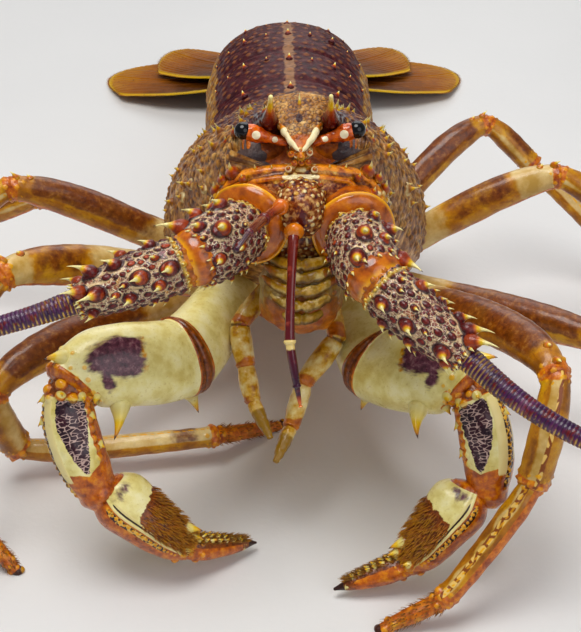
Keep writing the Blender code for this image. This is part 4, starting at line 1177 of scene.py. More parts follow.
def make_horns():
    """The two large horns between the eyes."""
    for side_name, side in SIDES.items():
        root, tip = head_at(8, side * 9.5, -5.5), head_at(-17, side * 8.6, 4)
        point, tube = horn_tube(root, tip, ACROSS, 5.6, 5.4, 90, 64, -1.2, 1.9, 0.11)
        spots = scatter(point, 31 + side, (0.4, 0.9), 700, 1.3, lambda t, q: (t < 0.45) & (t > 0.04))
        tube.stud(knobs(spots, 0.5), tilt=0.3)
        ways = unit(tube.p - tube.centre)
        # Painted shade over the outer flank of each horn, the side that faces outwards and a little up.
        tube.mark(run=tube.t, slate=step(0.15, 0.7, ways @ (ACROSS * side) + 0.25 * (ways @ HEAD_UP)))
        piece = tube.add_to(Piece(), (0.5, 0.35))
        for t, outward, length in ((0.2, 0.25, 2.6), (0.36, 0.2, 2.2), (0.5, 0.15, 1.4)):
            facing = ways[int(t * 89)] @ unit(HEAD_UP + ACROSS * side * outward)
            spine_on(piece, tube, t, tube.q[0, int(np.argmax(facing))], length, 1.0, 0.9, run=0.5)
        piece.build(f"horn_{side_name}", "horn", "shell")


def make_crown():
    """The plate between the horns with its spine, and the low ramp that leads down behind it."""
    piece = Piece()
    root, tip = head_at(7, 0, 1.2), head_at(-9.0, 0, -11.6)
    point, tube = horn_tube(root, tip, ACROSS, 10.6, 4.0, 100, 140, 0.3, 0.72)
    tube.stud(knobs(scatter(point, 12, (0.32, 0.75), 3600, 1.15, lambda t, q: t < 0.85), 0.5), power=0.8)
    _, across, above = head_frame(tube.p)
    spot = np.hypot(across + 0.2, (above + 2.6) * 0.8)
    tube.mark(dark=step(1.3, 0.7, spot), orange=0.8 * step(0.6, 0.9, tube.t), slate=0.41)
    tube.add_to(piece, (2.5, 0.5))
    way, lean = unit(HEAD_UP - BACKWARD * 0.12), unit(HEAD_UP - BACKWARD * 0.4)
    spine(piece, head_at(2, 0, -0.5), way, 5.4, 1.3, lean, 20, 20, 0.5, pale=0.95)
    root, tip = head_at(6.5, 0, 1.1), head_at(40, 0, -3.4)
    point, tube = horn_tube(root, tip, ACROSS, 10.5, 3.95, 80, 100, 0.0, 0.85)
    tube.stud(knobs(scatter(point, 14, (0.4, 1.1), 2600, 1.2, lambda t, q: t < 0.75), 0.55), power=0.8)
    tube.mark(middle=step(0.1, 0.6, tube.t), slate=0.5 * step(0.5, 0.2, tube.t))
    tube.add_to(piece, (0.5, 0.3))
    piece.build("brow_plate", "shell", "shell")


# Small spines of the beak: across, above, length and how pale
BEAK_SPINES = ((0.9, -13.2, 1.2, 0), (-1.2, -13.0, 1.2, 0.9), (2.6, -12.4, 1.3, 0.9), (-2.8, -12.8, 1.3, 0),
               (0.2, -15.2, 1.4, 0), (-1.9, -15.4, 1.3, 0), (2.2, -15.2, 1.3, 0), (-3.6, -17.1, 1.5, 1),
               (4.0, -17.4, 1.5, 1))
# Spines behind and outside each eye: behind, across, above and length
ORBIT_SPINES = ((10, 15, -5.5, 2.6), (3.5, 19.5, -7.0, 3.0), (9, 22, -10, 2.6))


def make_ridges():
    """The white ridges that meet in a V, the beak between them and the spines round the eyes."""
    piece = Piece()
    for side in SIDES.values():
        root, tip = head_at(-1.5, side * 5.9, -4.6), head_at(-10.5, side * 0.8, -11.6)
        _, tube = horn_tube(root, tip, HEAD_UP, 1.25, 1.0, 60, 40, -0.4, 0.3)
        tube.push(0.3 * noise_of(5 + side, tube.p, 3.0) - 0.5 * step(0.25, 0.0, tube.t))
        tube.mark(pale=0.56 + 0.3 * hump(0.55, 0.3, tube.t) - 0.5 * step(0.25, 0.1, tube.t),
                  orange=0.8 * step(0.3, 0.1, tube.t))
        tube.add_to(piece, (0.7, 0.7))
    root, tip = head_at(2, 0, -12.0), head_at(-11.5, 0, -13.4)
    point, tube = horn_tube(root, tip, ACROSS, 3.4, 3.0, 60, 48, 0.4, 0.6)
    tube.stud(knobs(scatter(point, 12, (0.6, 1.2), 500, 1.15), 0.7))
    tube.mark(orange=step(0.15, 0.5, tube.t) * 0.62)
    tube.add_to(piece, (0.5, 0.9))
    for across, above, length, pale in BEAK_SPINES:
        way = unit(HEAD_UP * 0.5 - BACKWARD + ACROSS * np.sign(across) * 0.2)
        spine(piece, head_at(-8.6, across, above), way, length, 1.0, bulb=0.8, pale=pale, orange=1 - pale)
    for side in SIDES.values():
        for behind, across, above, length in ORBIT_SPINES:
            way = unit(HEAD_UP - BACKWARD * 0.7 + ACROSS * side * 0.15)
            spine(piece, head_at(behind, side * across, above), way, length, 1.1, bulb=0.6)
    piece.build("brow_ridges", "face", "shell")


# Eyes. Radii of a stalk from the head to the eye
STALK_SIZES = ((1.4,), (1.35,), (1.45,), (1.9,), (2.5,), (2.6,), (2.0,))


def ball(centre, axes, sizes, cut=0.02, power=1.0):
    """The surface of a ball with three axes, the first through its poles, and its size along each."""
    along, side, out = axes
    long, wide, high = sizes

    @surface
    def point(t, q):
        turn = math.pi * (cut + (1 - 2 * cut) * t)
        size = np.sin(turn) ** power
        middle = centre - along * (long * np.cos(turn))[..., None]
        return oval(middle, side, out, wide * size, high * size, q)

    return point


def make_eyes():
    """The eyes and the stalks that carry them."""
    for side_name, side in SIDES.items():
        behind, outward, above = EYE_PLACE
        centre = head_at(behind, side * outward, above)
        near = head_at(-1.0, side * 4.0, -9.8)
        along = unit(centre - near)
        up = unit(HEAD_UP - along * dot(HEAD_UP, along))
        front = np.cross(along, up)
        globe = ball(centre, (along, front, up), (EYE_RADIUS * 0.97, EYE_RADIUS, EYE_RADIUS * 0.97))
        tube = Tube(globe, tiers(64), 96)
        tube.mark(rim=step(0.3, 0.22, tube.t))
        tube.add_to(Piece()).build(f"eyeball_{side_name}", "eye", "eye", f"eye_{side_name}")
        reach = head_at(behind, side * (outward - 0.6), above) + along * 0.4 - near

        @surface
        def stalk(t, q):
            size = smooth(STALK_SIZES, t)[..., 0]
            return oval(near + reach * t[..., None], front, up, size, size, q)

        tube = Tube(stalk, tiers(70), 64)
        tube.push(0.12 * noise_of(3 + side, tube.p, 1.6))
        _, across, above = head_frame(tube.p)
        facing = step(0.1, 0.3, -(unit(tube.p - tube.centre) @ BACKWARD))
        big_spot = step(1.5, 1.05, np.hypot(across - side * 12.9, above + 7.4))
        small_spot = step(1.1, 0.7, np.hypot(across - side * 7.4, above + 8.8))
        tube.mark(pale=facing * np.maximum(big_spot, 0.9 * small_spot), dark=step(0.93, 0.99, tube.t))
        piece = tube.add_to(Piece(), (0.5, 0.4))
        piece.build(f"stalk_{side_name}", "stalk", "joint", f"eyestalk_{side_name}")


# Head front. Ridges of the arch as (across, above), and its spines: behind, across, above, length, radius
ARCH_TOP = ((0, -17.2), (8, -17.4), (16, -18.6), (21, -21.5), (24, -26), (25, -32))
ARCH_LOW = ((0, -19.6), (7, -19.8), (14, -21.0), (18.5, -24.5), (20.5, -29))
ARCH_SPINES = (
    (-2.5, 20, -18.5, 5.4, 2.4), (-4, 13, -17.8, 3.0, 1.6), (2, 25, -24, 4.6, 2.0),
    (-6.0, 3.6, -17.3, 1.6, 1.4), (-5.5, 8.2, -17.4, 2.2, 1.3), (-1.5, 23.2, -20.5, 3.2, 1.6),
    (-6, 17, -20, 2.4, 1.3), (-3.5, 21.5, -24.5, 2.8, 1.5),
)
FEELER_PLATE = ((-3, 4.0, -18.5, 8), (-8, 7.2, -19.5, 9), (-12, 7.0, -20.5, 8), (-15.5, 5.5, -22.5, 6),
                (-17.5, 3.0, -24.5, 3.4))


def line_rise(across, above, way, wide):
    """How near points of the head's front are to a line through (across, above) places, 1 on it."""
    best = np.full(across.shape, 1e9)
    for (x0, z0), (x1, z1) in zip(way, way[1:]):
        dx, dz = x1 - x0, z1 - z0
        f = clamp01(((across - x0) * dx + (above - z0) * dz) / (dx * dx + dz * dz))
        best = np.minimum(best, np.hypot(across - x0 - dx * f, above - z0 - dz * f))
    return np.exp(-(best / wide) ** 2)


def make_head():
    """The front of the head, with the arch over the feelers and its spines."""
    point = ring_block(HEAD_BLOCK, 2.6, 5, 0.16)
    tube = Tube(point, tiers(110), 250)

    def off_arch(t, q):
        behind, across, above = head_frame(point(t, q))
        return (np.abs(across) < 4.5) | (above < -24) | (behind > 3.5) | (np.abs(across) > 25)

    tube.stud(knobs(scatter(point, 17, (0.45, 1.0), 5000, 1.14, off_arch), 0.7))
    behind, across, above = head_frame(tube.p)
    outward = np.abs(across)
    upper, lower = line_rise(outward, above, ARCH_TOP, 1.0), line_rise(outward, above, ARCH_LOW, 0.8)
    behind_face = behind - 4.5 * (across / 27) ** 2
    front = step(1.0, -2.0, behind_face)
    tube.push((upper + 0.7 * lower) * front)
    tube.mark(
        orange=np.maximum(upper, lower) * front * 0.9,
        plate=step(-20.5, -22.5, above) * front * step(16, 12, outward),
        maroon=0.9 * hump(0, 1.5, outward) * hump(-29, 3.0, above) * front,
        pale=0.9 * lower * front * step(6.5, 4.5, outward),
        # Painted shade on the top of the head behind the arch, under the eyes.
        slate=0.62 * step(1.0, 4.5, behind_face) * step(6, 10, outward),
    )
    piece = tube.add_to(Piece(), (0.5, 3.0))
    lean = unit(HEAD_UP * 0.9 - BACKWARD * 0.7)
    for side in SIDES.values():
        way = unit(HEAD_UP * 0.6 - BACKWARD + ACROSS * side * 0.4)
        for behind, across, above, length, radius in ARCH_SPINES:
            spine(piece, head_at(behind, side * across, above), way, length, radius, lean, bulb=0.6)
    piece.build("head_front", "face", "shell", "head")


def make_feeler_plate():
    """The plate that carries the feelers, between the two cups."""
    point = ring_block(FEELER_PLATE, 2.4, 0, 0.05)
    tube = Tube(point, tiers(70), 120)
    tube.stud(knobs(scatter(point, 41, (0.4, 0.9), 900, 1.2, lambda t, q: t < 0.88), 0.6))
    _, across, above = head_frame(tube.p)
    tube.mark(plate=1.0, maroon=0.85 * hump(0, 1.6, across) * step(-25, -29, above))
    piece = tube.add_to(Piece(), (0.3, 1.2))
    for place in ((-16.0, -4.6, -28.6), (-16.6, 2.4, -30.6), (-17.4, 0.4, -27.0)):
        spine(piece, head_at(*place), unit(HEAD_UP * 0.3 - BACKWARD), 1.4, 1.2, bulb=1.0, pale=1.0)
    way = unit(HEAD_UP - BACKWARD)
    for side in SIDES.values():
        spine(piece, head_at(-14, side * 3.4, -22.5), way, 1.8, 1.1, bulb=0.8)
        spine(piece, head_at(-12, side * 5.6, -21.5), way, 1.5, 0.9, bulb=0.8)
    piece.build("feeler_plate", "face", "shell")


# Bands across the mouth: above, half width, how far their ends rise, and behind
MOUTH_BANDS = ((-45.4, 9.5, 1.6, -9.2), (-49.2, 11.4, 3.4, -9.6), (-53.4, 11.8, 4.4, -9.6),
               (-57.6, 11.4, 5.0, -9.2), (-61.6, 10.0, 5.0, -7.4))


def mouth_band(above, half, rise, front):
    """The surface of a band across the mouth, whose ends bend up and back."""

    @surface
    def point(t, q):
        run = 2 * t - 1
        centre = head_at(front + 5.0 * run ** 2, half * run, above + rise * run ** 2)
        size = (1 - run ** 4) ** 0.5 * 0.94 + 0.06
        return oval(centre, BACKWARD, HEAD_UP, 1.6 * size, 1.9 * size, q)

    return point


def make_mouth():
    """The mouth block and the bands across it."""
    piece = Piece()
    tube = Tube(ring_block(MOUTH_BLOCK, 2.4, 0, 0), tiers(60), 90)
    above = head_frame(tube.p)[2]
    # Painted shade: the lower part of the mouth block, behind and below the bands, is darkened.
    tube.mark(dark=0.62 * step(-68, -55, above), orange=0.35 + 0.5 * step(-52, -62, above))
    tube.push(0.5 * noise_of(31, tube.p, 5.0))
    tube.add_to(piece, (0.5, 1.0))
    for i, band in enumerate(MOUTH_BANDS):
        tube = Tube(mouth_band(*band), tiers(54), 24)
        tube.push(0.25 * noise_of(9 + i, tube.p, 2.4) - 0.5 * hump(0.5, 0.03, tube.t))
        ways = unit(tube.p - tube.centre)
        tube.mark(
            # Painted light: paler where a band faces up and forward.
            pale=0.36 * step(0.1, 0.8, dot(ways, unit(HEAD_UP - BACKWARD * 0.6))),
            orange=0.7 * step(0.35, 0.9, np.abs(2 * tube.t - 1)) + 0.3 * noise_of(61 + i, tube.p, 4.0),
            # Painted shade: dark where a band faces down.
            dark=0.75 * step(0.3, -0.9, dot(ways, HEAD_UP)),
            olive=0.5 + 0.1 * noise_of(71 + i, tube.p, 5.0),
        )
        tube.add_to(piece, (0.3, 0.3))
    piece.build("mouth_parts", "belly", "belly", "mouth")


def make_chest():
    """The ridged plates under the body."""
    tube = Tube(trunk(CHEST, None, 2.4, 3.0), tiers(90), 120)
    ridges = np.sin(tube.t * 32)
    tube.push(0.8 * ridges * step(0.2, -0.2, np.sin(tube.q)))
    tube.mark(orange=0.5 + 0.3 * ridges)
    tube.add_to(Piece(), (1.0, 1.0)).build("chest_plates", "belly", "belly", "chest")


# Antennae. Big spines of each length: place along it, angle, length, radius, and 1 for a dark tip
BIG_SPINES = {
    ("arm", "left"): (
        (0.65, 349, 4.6, 2.3, 0), (0.9, 315, 4.4, 2.3, 0), (0.48, 46, 6.0, 2.2, 0), (0.9, 62, 8.0, 2.6, 1),
        (0.3, 20, 4.0, 1.8, 0), (0.72, 20, 3.6, 1.7, 0), (0.75, 160, 3.6, 1.7, 0), (0.4, 110, 4.0, 1.8, 0),
        (0.85, 110, 4.6, 1.9, 0),
    ),
    ("wrist", "left"): (
        (0.29, 262, 4.2, 2.0, 0), (0.5, 258, 4.4, 2.0, 0), (0.8, 255, 5.0, 2.1, 0), (0.84, 357, 8.0, 2.3, 0),
        (0.94, 340, 8.6, 2.3, 0), (0.72, 10, 5.4, 1.9, 0), (0.36, 218, 3.2, 1.6, 0), (0.57, 222, 3.4, 1.6, 0),
        (0.88, 222, 3.6, 1.6, 0), (0.4, 350, 4.2, 1.9, 0), (0.55, 40, 4.4, 1.9, 0), (0.9, 60, 6.4, 2.0, 0),
        (0.9, 130, 4.6, 1.7, 0),
    ),
    ("arm", "right"): (
        (0.42, 1, 4.4, 2.3, 0), (0.7, 50, 4.6, 2.4, 0), (0.66, 340, 5.4, 2.2, 0), (0.92, 335, 8.6, 2.6, 1),
        (0.62, 88, 3.6, 1.8, 0), (0.3, 320, 4.0, 1.8, 0), (0.86, 20, 3.8, 1.7, 0), (0.4, 270, 4.0, 1.8, 0),
        (0.88, 95, 3.4, 1.7, 0),
    ),
    ("wrist", "right"): (
        (0.28, 84, 4.4, 2.1, 0), (0.48, 82, 4.6, 2.1, 0), (0.79, 84, 7.8, 2.2, 0), (0.78, 18, 7.4, 2.2, 0),
        (0.6, 30, 4.6, 1.9, 0), (0.38, 108, 3.4, 1.6, 0), (0.58, 116, 3.6, 1.6, 0), (0.87, 138, 3.8, 1.6, 0),
        (0.35, 10, 4.0, 1.8, 0), (0.55, 340, 4.6, 1.9, 0), (0.9, 320, 6.0, 1.9, 0), (0.9, 240, 4.4, 1.7, 0),
        (0.93, 60, 6.6, 2.0, 0),
    ),
}


def make_armour(label, k, side_name, seed):
    """Length k of an antenna: knobs all over it, its collar, its big spines and some small ones."""
    point = antenna_point(side_name, k)
    gap = 0.3 / math.dist(*ANTENNA_JOINTS[side_name][k:k + 2])
    tube = Tube(point, tiers(150, -gap, 1 - gap), 176)
    big = [(t, math.radians(q), *rest) for t, q, *rest in BIG_SPINES[label, side_name]]
    taken = [(t, q, radius) for t, q, _, radius, _ in big]
    spots = scatter(point, seed, (0.4, 1.1), 9000, 1.42, lambda t, q: (t > 0.08) & (t < 0.97), taken)
    feet = [(t, q, radius * 1.15, radius * 0.5) for t, q, radius in taken]
    tube.stud(knobs(spots, 0.65) + feet, power=0.62, stretch=1.4, tilt=0.35)
    edge = 0.16 if label == "wrist" else 0.12
    collar = step(edge + 0.04, edge - 0.02, tube.t + 0.03 * np.cos(tube.q))
    rim = 0.8 * hump(edge + 0.03, 0.012, tube.t)
    tube.masks["knob"] *= 1 - collar
    tube.masks["ring"] *= 1 - collar
    tube.mark(collar=collar, rim=rim)
    tube.push(0.35 * rim)
    piece = tube.add_to(Piece(), (2.0, 1.4))
    draw = np.random.default_rng(seed + 5)
    for t, q, length, radius, dark in big:
        spine_on(piece, tube, t, q, length, radius, 1.5, bulb=0.6, sides=20, rows=22, knob=1.0,
                 dark_tip=float(dark), ruddy=float(draw.random() < 0.4))
    small = [spot for spot in spots if 0.2 < spot[0] < 0.95 and spot[2] > 0.8]
    for t, q, radius in small[::4]:
        spine_on(piece, tube, t, q, radius * 2.3, radius * 0.8, 1.4, bulb=0.5, rows=12, knob=1.0)
    # Teeth round the far end and round the collar
    for count, t, least, more, radius, lean, bulb, pale in (
        (14, 0.965, 1.5, 1.0, 0.8, 1.6, 0.3, 0.0),
        (18, edge + 0.02, 1.2, 0.7, 0.75, 1.4, 0.4, 1.0),
    ):
        for i in range(count):
            q = TURN * (i + 0.5 * draw.random()) / count
            spine_on(piece, tube, t, q, least + more * draw.random(), radius, lean, bulb=bulb, rim=pale)
    piece.build(f"{label}_armour_{side_name}", "net", "antenna", f"antenna_{label}_{side_name}")


def make_cup(side_name, side):
    """The smooth cup at the root of an antenna, and the dome over the joint of its arm and wrist."""
    tube = Tube(antenna_point(side_name, 0), tiers(120, -0.02, 0.985), 160)
    rim = hump(0.942, 0.022, tube.t)
    tube.push(0.9 * rim - 0.5 * hump(0.72, 0.09, tube.t) + 0.15 * noise_of(8 + side, tube.p, 5.0))
    shade = np.maximum(0.75 * step(0.45, 0.1, tube.t), 0.52 * hump(0.84, 0.035, tube.t))
    tube.mark(rim=clamp01(rim * 1.1), shade=shade)
    tube.add_to(Piece(), (1.0, 1.8)).build(f"cup_{side_name}", "collar", "joint",
                                           f"antenna_cup_{side_name}")
    joints = np.array(ANTENNA_JOINTS[side_name], float)
    way = unit(joints[3] - joints[1])
    hinge = unit(np.cross(way, HEAD_UP))
    dome = ball(joints[2], (way, hinge, np.cross(hinge, way)), (6.4, 8.6, 8.6), 0.04, 0.8)
    tube = Tube(dome, tiers(70), 110)
    tube.mark(shade=0.5 * hump(0.5, 0.12, tube.t), rim=0.8 * hump(0.72, 0.05, tube.t))
    tube.add_to(Piece()).build(f"elbow_dome_{side_name}", "collar", "joint")


# Lengths of a whip: name, how long its rings are, rows to a ring and points round it
WHIP_LENGTHS = (("near", 1.25, 5, 22), ("far", 1.5, 4, 12))


def make_whip(side_name):
    """The two lengths of a whip, made of rounded rings."""
    point = flagellum_point(FLAGELLUM_WAY[side_name])
    whole = np.linalg.norm(np.diff(np.array(FLAGELLUM_WAY[side_name], float), axis=0), axis=1).sum()
    cuts = zip(FLAGELLUM_CUTS, FLAGELLUM_CUTS[1:])
    for (label, ring_long, ring_rows, sides), (start, end) in zip(WHIP_LENGTHS, cuts):
        rows = int(whole * (end - start) / ring_long) * ring_rows
        tube = Tube(point, tiers(rows, start + 0.0004, end - 0.0004 * (end < 1)), sides)
        share = (tube.s / ring_long) % 1.0
        radius = smooth(FLAGELLUM, tube.t)[..., 0]
        tube.push(radius * 0.07 * (np.sin(share * math.pi) ** 0.5 - 0.6))
        lower = step(-0.35, 0.35, -dot(unit(tube.p - tube.centre), UP) + 0.25 * np.sin(tube.q * 3 + tube.s))
        near_root = hump(0, 9.0, tube.s) * (label == "near")
        tube.mark(
            seam=0.75 * hump(0, 0.16, np.minimum(share, 1 - share)),
            tick=0.85 * step(0.5, 0.66, share) * step(1.0, 0.9, share) * np.maximum(lower, 0.7 * near_root),
            dim=0.8 * step(0.45, 1.0, tube.t),
        )
        name = f"{label}_{side_name}"
        tube.add_to(Piece(), (0.4, 0.2)).build("whip_" + name, "whip", "flagellum", "flagellum_" + name)


def make_feelers():
    """The two small feelers, each with a ball at its root. The right one is plainer."""
    for side_name, side in SIDES.items():
        joints = ANTENNULE_JOINTS[side_name]
        hinge = hinge_of(joints)
        piece = Piece()
        root = np.array(joints[1 if side > 0 else 0], float)
        Tube(ball(root, (UP, ACROSS, BACKWARD), (3.0, 3.0, 2.8)), tiers(40), 56).add_to(piece)
        for k, sizes in enumerate(ANTENNULE):
            tube = Tube(limb(joints, hinge, k, sizes, 2.2, 0.14), tiers(60), 32)
            joint = hump(0.0, 0.05, tube.t) + hump(1.0, 0.05, tube.t)
            tube.push(0.3 * joint)
            run = (k + tube.t) / len(ANTENNULE)
            pale = (0.0, 0.9 * clamp01(joint), hump(0.0, 0.25, tube.t), 0.0)[k]
            tube.mark(run=run if side > 0 else np.clip(run - 0.16, 0.02, 0.86), pale=pale * (side > 0))
            tube.add_to(piece, (sizes[0][0] * 0.7, sizes[-1][0] * 0.7))
        piece.build(f"feeler_{side_name}", "feeler", "antenna", f"antennule_{side_name}")


def make_maxillipeds():
    """The small limbs below the mouth, with short spines under all but their first lengths."""
    for side_name in SIDES:
        joints = MAXILLIPED_JOINTS[side_name]
        hinge = hinge_of(joints)
        piece = Piece()
        for k, sizes in enumerate(MAXILLIPED):
            tube = Tube(limb(joints, hinge, k, sizes, 2.2, 0.14), tiers(90), 48)
            joint = hump(0.0, 0.04, tube.t) + hump(1.0, 0.05, tube.t)
            tube.push(0.25 * joint - 0.35 * hump(0.1, 0.03, tube.t) + 0.12 * noise_of(2 + k, tube.p, 2.0))
            tube.mark(
                orange=clamp01(0.75 * hump(0.95, 0.22, tube.t) + 0.3 * noise_of(21 + k, tube.p, 7.0)),
                dark=0.8 * hump(0.08, 0.05, tube.t),
                olive=0.8 * step(0.15, 0.5, tube.t) * (k == 3),
            )
            tube.add_to(piece, (sizes[0][1] * 0.5, sizes[-1][1] * 0.6))
            for t in (0.2, 0.4, 0.6, 0.8) if k else ():
                lowest = tube.furthest(int(t * 89), -UP)
                spine_on(piece, tube, t, lowest, 1.5, 0.55, 0.8, bulb=0.3, pale=0.6)
        piece.build(f"maxilliped_skin_{side_name}", "belly", "belly", f"maxilliped_{side_name}")


# Bristles. How much of the bake map one takes
BRISTLE_PATCH = 0.003


class Coat:
    """Thin curved bristles, each with its own patch on the bake map."""

    def __init__(self):
        self.piece, self.maps = Piece(), []

    def tuft(self, root, way, lean, length, radius, uv, **masks):
        """One bristle, from root along way and bending towards lean."""
        sides, rows = 3, 4
        centre, rise = bent(root, way, lean, length, np.linspace(-0.15, 1, rows))
        side = unit(np.cross(way, lean + 0.01))
        points = whorl(centre, radius * (1 - 0.9 * rise), side, np.cross(way, side) * 0.6, sides)
        run = np.concatenate((np.repeat(rise, sides), (0.0, 1.0)))
        self.piece.add(np.concatenate((points, centre[[0, -1]])), tube_faces(rows, sides), run=run, **masks)
        around = np.concatenate((np.tile(np.arange(sides) / sides, rows), (0.5, 0.5)))
        self.maps.append(np.stack((uv[0] + BRISTLE_PATCH * around, uv[1] + BRISTLE_PATCH * run), -1))

    def build(self, name, slot):
        """Makes the object with its bake map."""
        mesh = self.piece.build(name, "bristle", slot).data
        corners = np.empty(len(mesh.loops), np.int32)
        mesh.loops.foreach_get("vertex_index", corners)
        layer = mesh.uv_layers.new(name="OFBake")
        layer.data.foreach_set("uv", np.concatenate(self.maps)[corners].astype(np.float32).ravel())


def bristle_field(name, tube, spots, length, radius, lean, seed, slot, dark=0.0):
    """Bristles at (t, q) spots of a tube, lying along it."""
    coat = Coat()
    draw = np.random.default_rng(seed)
    for t, q in spots:
        p, normal, along, place = tube.place_at(t, q)
        side = np.cross(normal, along)
        way = unit(normal + along * lean * 0.5 + side * draw.normal() * 0.18)
        bend = unit(normal * 0.35 + along * (lean + 0.3) + side * draw.normal() * 0.3)
        uv = ((q % TURN) / TURN * 0.95, clamp01(t) * 0.95)
        long = length * (0.6 + 0.6 * draw.random())
        coat.tuft(p - normal * 0.15, way, bend, long, radius, uv, place=place, dark=dark * draw.random())
    coat.build(name, slot)


# First legs. Angles round a length are given in degrees as on the right leg, and mirrored on the left.
def angle_of(degrees, side_name):
    """An angle round a leg, in radians."""
    return math.radians(degrees if side_name == "right" else 180 - degrees)


def signed_from(q, degrees, side_name):
    """How far angles round a leg are past one given in degrees, in degrees."""
    past = np.degrees((q - angle_of(degrees, side_name) + math.pi) % TURN - math.pi)
    return past if side_name == "right" else -past


def far_from(q, degrees, side_name):
    """How far angles round a leg are from one given in degrees, in degrees."""
    return np.abs(signed_from(q, degrees, side_name))


def leg_tube(point, rows, sides=160):
    """A Tube a little shorter than its surface, so that its rounded ends fit the gap at a joint."""
    return Tube(point, tiers(rows, 0.004, 0.996), sides)


# Spines of each length: place along it, angle, length, radius, lean and the rest
MERUS_SPINES = (
    (0.60, 72, 11.5, 3.2, 0.25, {"bulb": 0.25, "sides": 24, "rows": 26}),
    (0.93, 290, 6.5, 2.6, 0.9, {"bulb": 0.3, "sides": 20, "rows": 20}),
    (0.955, 45, 3.6, 1.9, 1.0, {"bulb": 0.4, "orange": 1.0}),
    (0.955, 90, 3.2, 1.7, 1.0, {"bulb": 0.4, "orange": 1.0}),
)
HAND_SPINES = (
    (0.80, 42, 5.2, 2.2, 1.1, {"bulb": 0.3, "sides": 20, "rows": 20, "rust": 1.0}),
    (0.93, 40, 4.0, 1.7, 0.9, {"bulb": 0.4, "orange": 1.0}),
    (0.93, 345, 3.0, 1.7, 0.9, {"bulb": 0.5, "orange": 1.0}),
)
# Angles round the carpus: the middle and half width of the netted patch, then of the cream stripe
CARPUS_MARKS = {"right": (345, 34, 288, 13), "left": (12, 34, 322, 13)}
# The angle of the dark line along the hand
HAND_LINE = 338


def make_ischium(side_name):
    """The first long length, with the large spine under its end."""
    tube = leg_tube(front_leg_point(side_name, "ischium"), 90, 110)
    tube.push(0.9 * hump(0.97, 0.03, tube.t))
    tube.mark(orange=step(0.90, 0.94, tube.t) * 0.95, rust=0.75 * step(0.92, 0.96, tube.t))
    piece = tube.add_to(Piece(), (1.0, 1.0))
    spine_on(piece, tube, 0.95, tube.furthest(84, -UP), 13.5, 3.3, 0.05, bulb=0.3, sides=20, rows=24)
    piece.build(f"leg1_ischium_shell_{side_name}", "claw", "claw", f"leg1_ischium_{side_name}")


def make_merus(side_name):
    """The second long length, with its purple patch and two long spines."""
    point = front_leg_point(side_name, "merus")
    tube = leg_tube(point, 120, 120)
    tube.stud(knobs(scatter(point, 51, (0.7, 1.3), 500, 1.6, lambda t, q: (t > 0.86) & (t < 0.98)), 0.5))
    collars = 0.6 * hump(0.02, 0.03, tube.t) + 0.8 * hump(0.985, 0.02, tube.t)
    tube.push(collars + 0.1 * noise_of(6, tube.p, 6.0))
    away = far_from(tube.q, 345, side_name)
    inside = tube.span(0.36, 0.56, 0.74, 0.94) * step(42, 14, away + 22 * np.maximum(tube.t - 0.6, 0))
    tail = 0.9 * hump(0.74, 0.07, tube.t) * step(36, 12, far_from(tube.q, 10, side_name))
    tube.mark(
        patch=np.maximum(inside, tail) * 0.98,
        fringe=0.5 * tube.span(0.34, 0.46, 0.46, 0.56) * step(40, 22, away),
        orange=np.maximum(step(0.055, 0.03, tube.t), step(0.955, 0.975, tube.t) * 0.9),
        rust=0.8 * step(0.05, 0.02, tube.t),
        lit=0.5,
    )
    piece = tube.add_to(Piece(), (1.5, 2.5))
    for t, degrees, length, radius, lean, more in MERUS_SPINES:
        spine_on(piece, tube, t, angle_of(degrees, side_name), length, radius, lean, **more)
    piece.build(f"leg1_merus_shell_{side_name}", "claw", "claw", f"leg1_merus_{side_name}")


